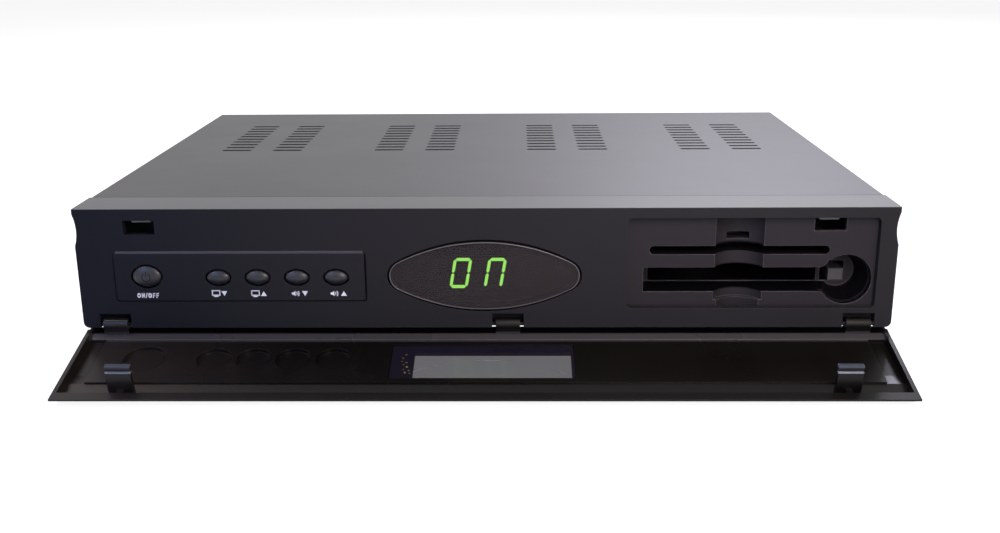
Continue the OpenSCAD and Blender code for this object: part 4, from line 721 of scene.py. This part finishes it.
def makeGlue():
    strips = []
    for trace in glueTraces:
        for (x0, s0, w0), (x1, s1, w1) in zip(trace, trace[1:]):
            strips.append([(x0, s0 - w0 / 2), (x0, s0 + w0 / 2), (x1, s1 + w1 / 2), (x1, s1 - w1 / 2)])
    mesh = platesMesh("glueTrace", strips, onFlap, -printSink, printProud)
    newPiece("glueTrace", mesh, "gluePale", "flap")
    flecks = []
    for i, (x, s, r) in enumerate(glueFlecks):
        spin = i * 0.7
        flecks.append([(x + r * (0.7 + 0.3 * math.cos(3 * k + i)) * math.cos(k * math.pi / 4 + spin),
                        s + r * (0.7 + 0.3 * math.cos(3 * k + i)) * math.sin(k * math.pi / 4 + spin))
                       for k in range(8)])
    mesh = platesMesh("glueFlecks", flecks, onFlap, -printSink, 2 * printProud)
    newPiece("glueFlecks", mesh, "glueYellow", "flap")


makeGlue()
print("window traces made")


phonoPlan = dict(first=-56, step=14, z=28.5, back=197.5,
                 rings=[("videoInsert", "videoRing"), ("leftInsert", "leftRing"),
                        ("rightInsert", "rightRing"), ("digitalInsert", "blackPlastic")],
                 profile=[(1.75, -0.5), (1.75, 0.05), (2.1, 0.25), (3.1, 0.25), (3.4, 0.05), (3.4, -0.5)])


# coloured rings in the ends of the phono sockets
def makePhonoRings(plan):
    circle = circlePoints(1, 40)
    for i, (name, finish) in enumerate(plan["rings"]):
        cx = plan["first"] + plan["step"] * i
        rings = [[at(cx + r * c, plan["back"] + y, plan["z"] + r * s) for c, s in circle]
                 for r, y in plan["profile"]]
        newPiece(name, ringMesh(name, rings, closed=False), finish, "case", smooth=True)


makePhonoRings(phonoPlan)
print("rear details made")


stagePlan = dict(floorReach=3, floorDrop=0.00005, floorColour=(0.40, 0.40, 0.41), floorRough=0.9, floorGlow=0.9,
                 skyLow=0.02, skyHigh=0.10, skyLeft=(0.80, 0.90, 1.12), skyRight=(1.06, 1.0, 0.98))


# one for rays that come straight from the camera, off a glossy surface or through glass
def seenRays(tree):
    path = tree.nodes.new("ShaderNodeLightPath")
    bounced = mathNode(tree, "MAXIMUM", path.outputs["Is Glossy Ray"], path.outputs["Is Transmission Ray"])
    return mathNode(tree, "MAXIMUM", path.outputs["Is Camera Ray"], bounced)


def makeFloor(plan):
    bm = bmesh.new()
    bmesh.ops.create_grid(bm, x_segments=2, y_segments=2, size=plan["floorReach"])
    mesh = bpy.data.meshes.new("studioFloor")
    bm.to_mesh(mesh)
    bm.free()
    floor = bpy.data.objects.new("studioFloor", mesh)
    floor.location.z = -plan["floorDrop"]
    bpy.context.collection.objects.link(floor)
    mat = bpy.data.materials.new("studioFloor")
    mat.use_nodes = True
    tree, links = mat.node_tree, mat.node_tree.links
    shader = tree.nodes["Principled BSDF"]
    shader.inputs["Base Color"].default_value = (*plan["floorColour"], 1)
    shader.inputs["Roughness"].default_value = plan["floorRough"]
    shader.inputs["Specular IOR Level"].default_value = 0.0
    shader.inputs["Emission Color"].default_value = (1, 1, 1, 1)
    glow = mathNode(tree, "MULTIPLY", seenRays(tree), plan["floorGlow"])
    links.new(glow, shader.inputs["Emission Strength"])
    mesh.materials.append(mat)


def makeWorld(plan):
    world = bpy.data.worlds.new("studio")
    bpy.context.scene.world = world
    world.use_nodes = True
    tree, links = world.node_tree, world.node_tree.links
    tree.nodes.clear()
    out = tree.nodes.new("ShaderNodeOutputWorld")
    split = tree.nodes.new("ShaderNodeSeparateXYZ")
    links.new(tree.nodes.new("ShaderNodeTexCoord").outputs["Generated"], split.inputs[0])
    tint = tree.nodes.new("ShaderNodeMix")  # bluish from the left, neutral from the right
    tint.data_type = "RGBA"
    links.new(rangeNode(tree, split.outputs["X"], -0.6, 0.6), tint.inputs["Factor"])
    tint.inputs["A"].default_value = (*plan["skyLeft"], 1)
    tint.inputs["B"].default_value = (*plan["skyRight"], 1)
    room = tree.nodes.new("ShaderNodeBackground")
    links.new(tint.outputs["Result"], room.inputs["Color"])
    links.new(rangeNode(tree, split.outputs["Z"], -0.1, 0.9, plan["skyLow"], plan["skyHigh"]),
              room.inputs["Strength"])
    white = tree.nodes.new("ShaderNodeBackground")
    white.inputs["Color"].default_value = (1, 1, 1, 1)
    mix = tree.nodes.new("ShaderNodeMixShader")
    links.new(seenRays(tree), mix.inputs[0])
    links.new(room.outputs[0], mix.inputs[1])
    links.new(white.outputs[0], mix.inputs[2])
    links.new(mix.outputs[0], out.inputs["Surface"])


lampPlan = {
    "frontLamp": dict(place=(0.10, -0.26, 0.20), aim=(0.05, -0.08, 0.03), size=(0.12, 0.10), power=0.42,
                      colour=(1.0, 0.80, 0.70)),
    "lowLamp": dict(place=(0.11, -0.30, 0.12), aim=(0.05, -0.08, 0.03), size=(0.12, 0.08), power=0.29,
                    colour=(1.0, 0.96, 1.0)),
    "leftLamp": dict(place=(-0.28, -0.40, 0.25), aim=(-0.10, -0.08, 0.03), size=(0.20, 0.20), power=0.62,
                     colour=(0.10, 0.36, 1.0)),
    "sideLamp": dict(place=(-0.45, -0.05, 0.55), aim=(-0.08, -0.05, 0.03), size=(0.30, 0.30), power=2.2,
                     colour=(1.0, 0.80, 0.76)),
    "backLamp": dict(place=(0.31, 0.90, 0.82), aim=(0.06, 0.0, 0.04), size=(0.42, 0.32), power=10.5,
                     colour=(0.86, 0.85, 1.0)),
}


def makeLamps(plan):
    for name, spec in plan.items():
        data = bpy.data.lights.new(name, "AREA")
        data.shape = "RECTANGLE"
        data.size, data.size_y = spec["size"]
        data.energy = spec["power"]
        data.color = spec["colour"]
        lamp = bpy.data.objects.new(name, data)
        bpy.context.collection.objects.link(lamp)
        lamp.location = spec["place"]
        lamp.visible_camera = False
        lamp.rotation_mode = "QUATERNION"
        lamp.rotation_quaternion = (Vector(spec["aim"]) - Vector(spec["place"])).to_track_quat("-Z", "Y")


makeFloor(stagePlan)
makeWorld(stagePlan)
makeLamps(lampPlan)
bpy.context.scene.view_settings.view_transform = "Standard"
print("stage set")
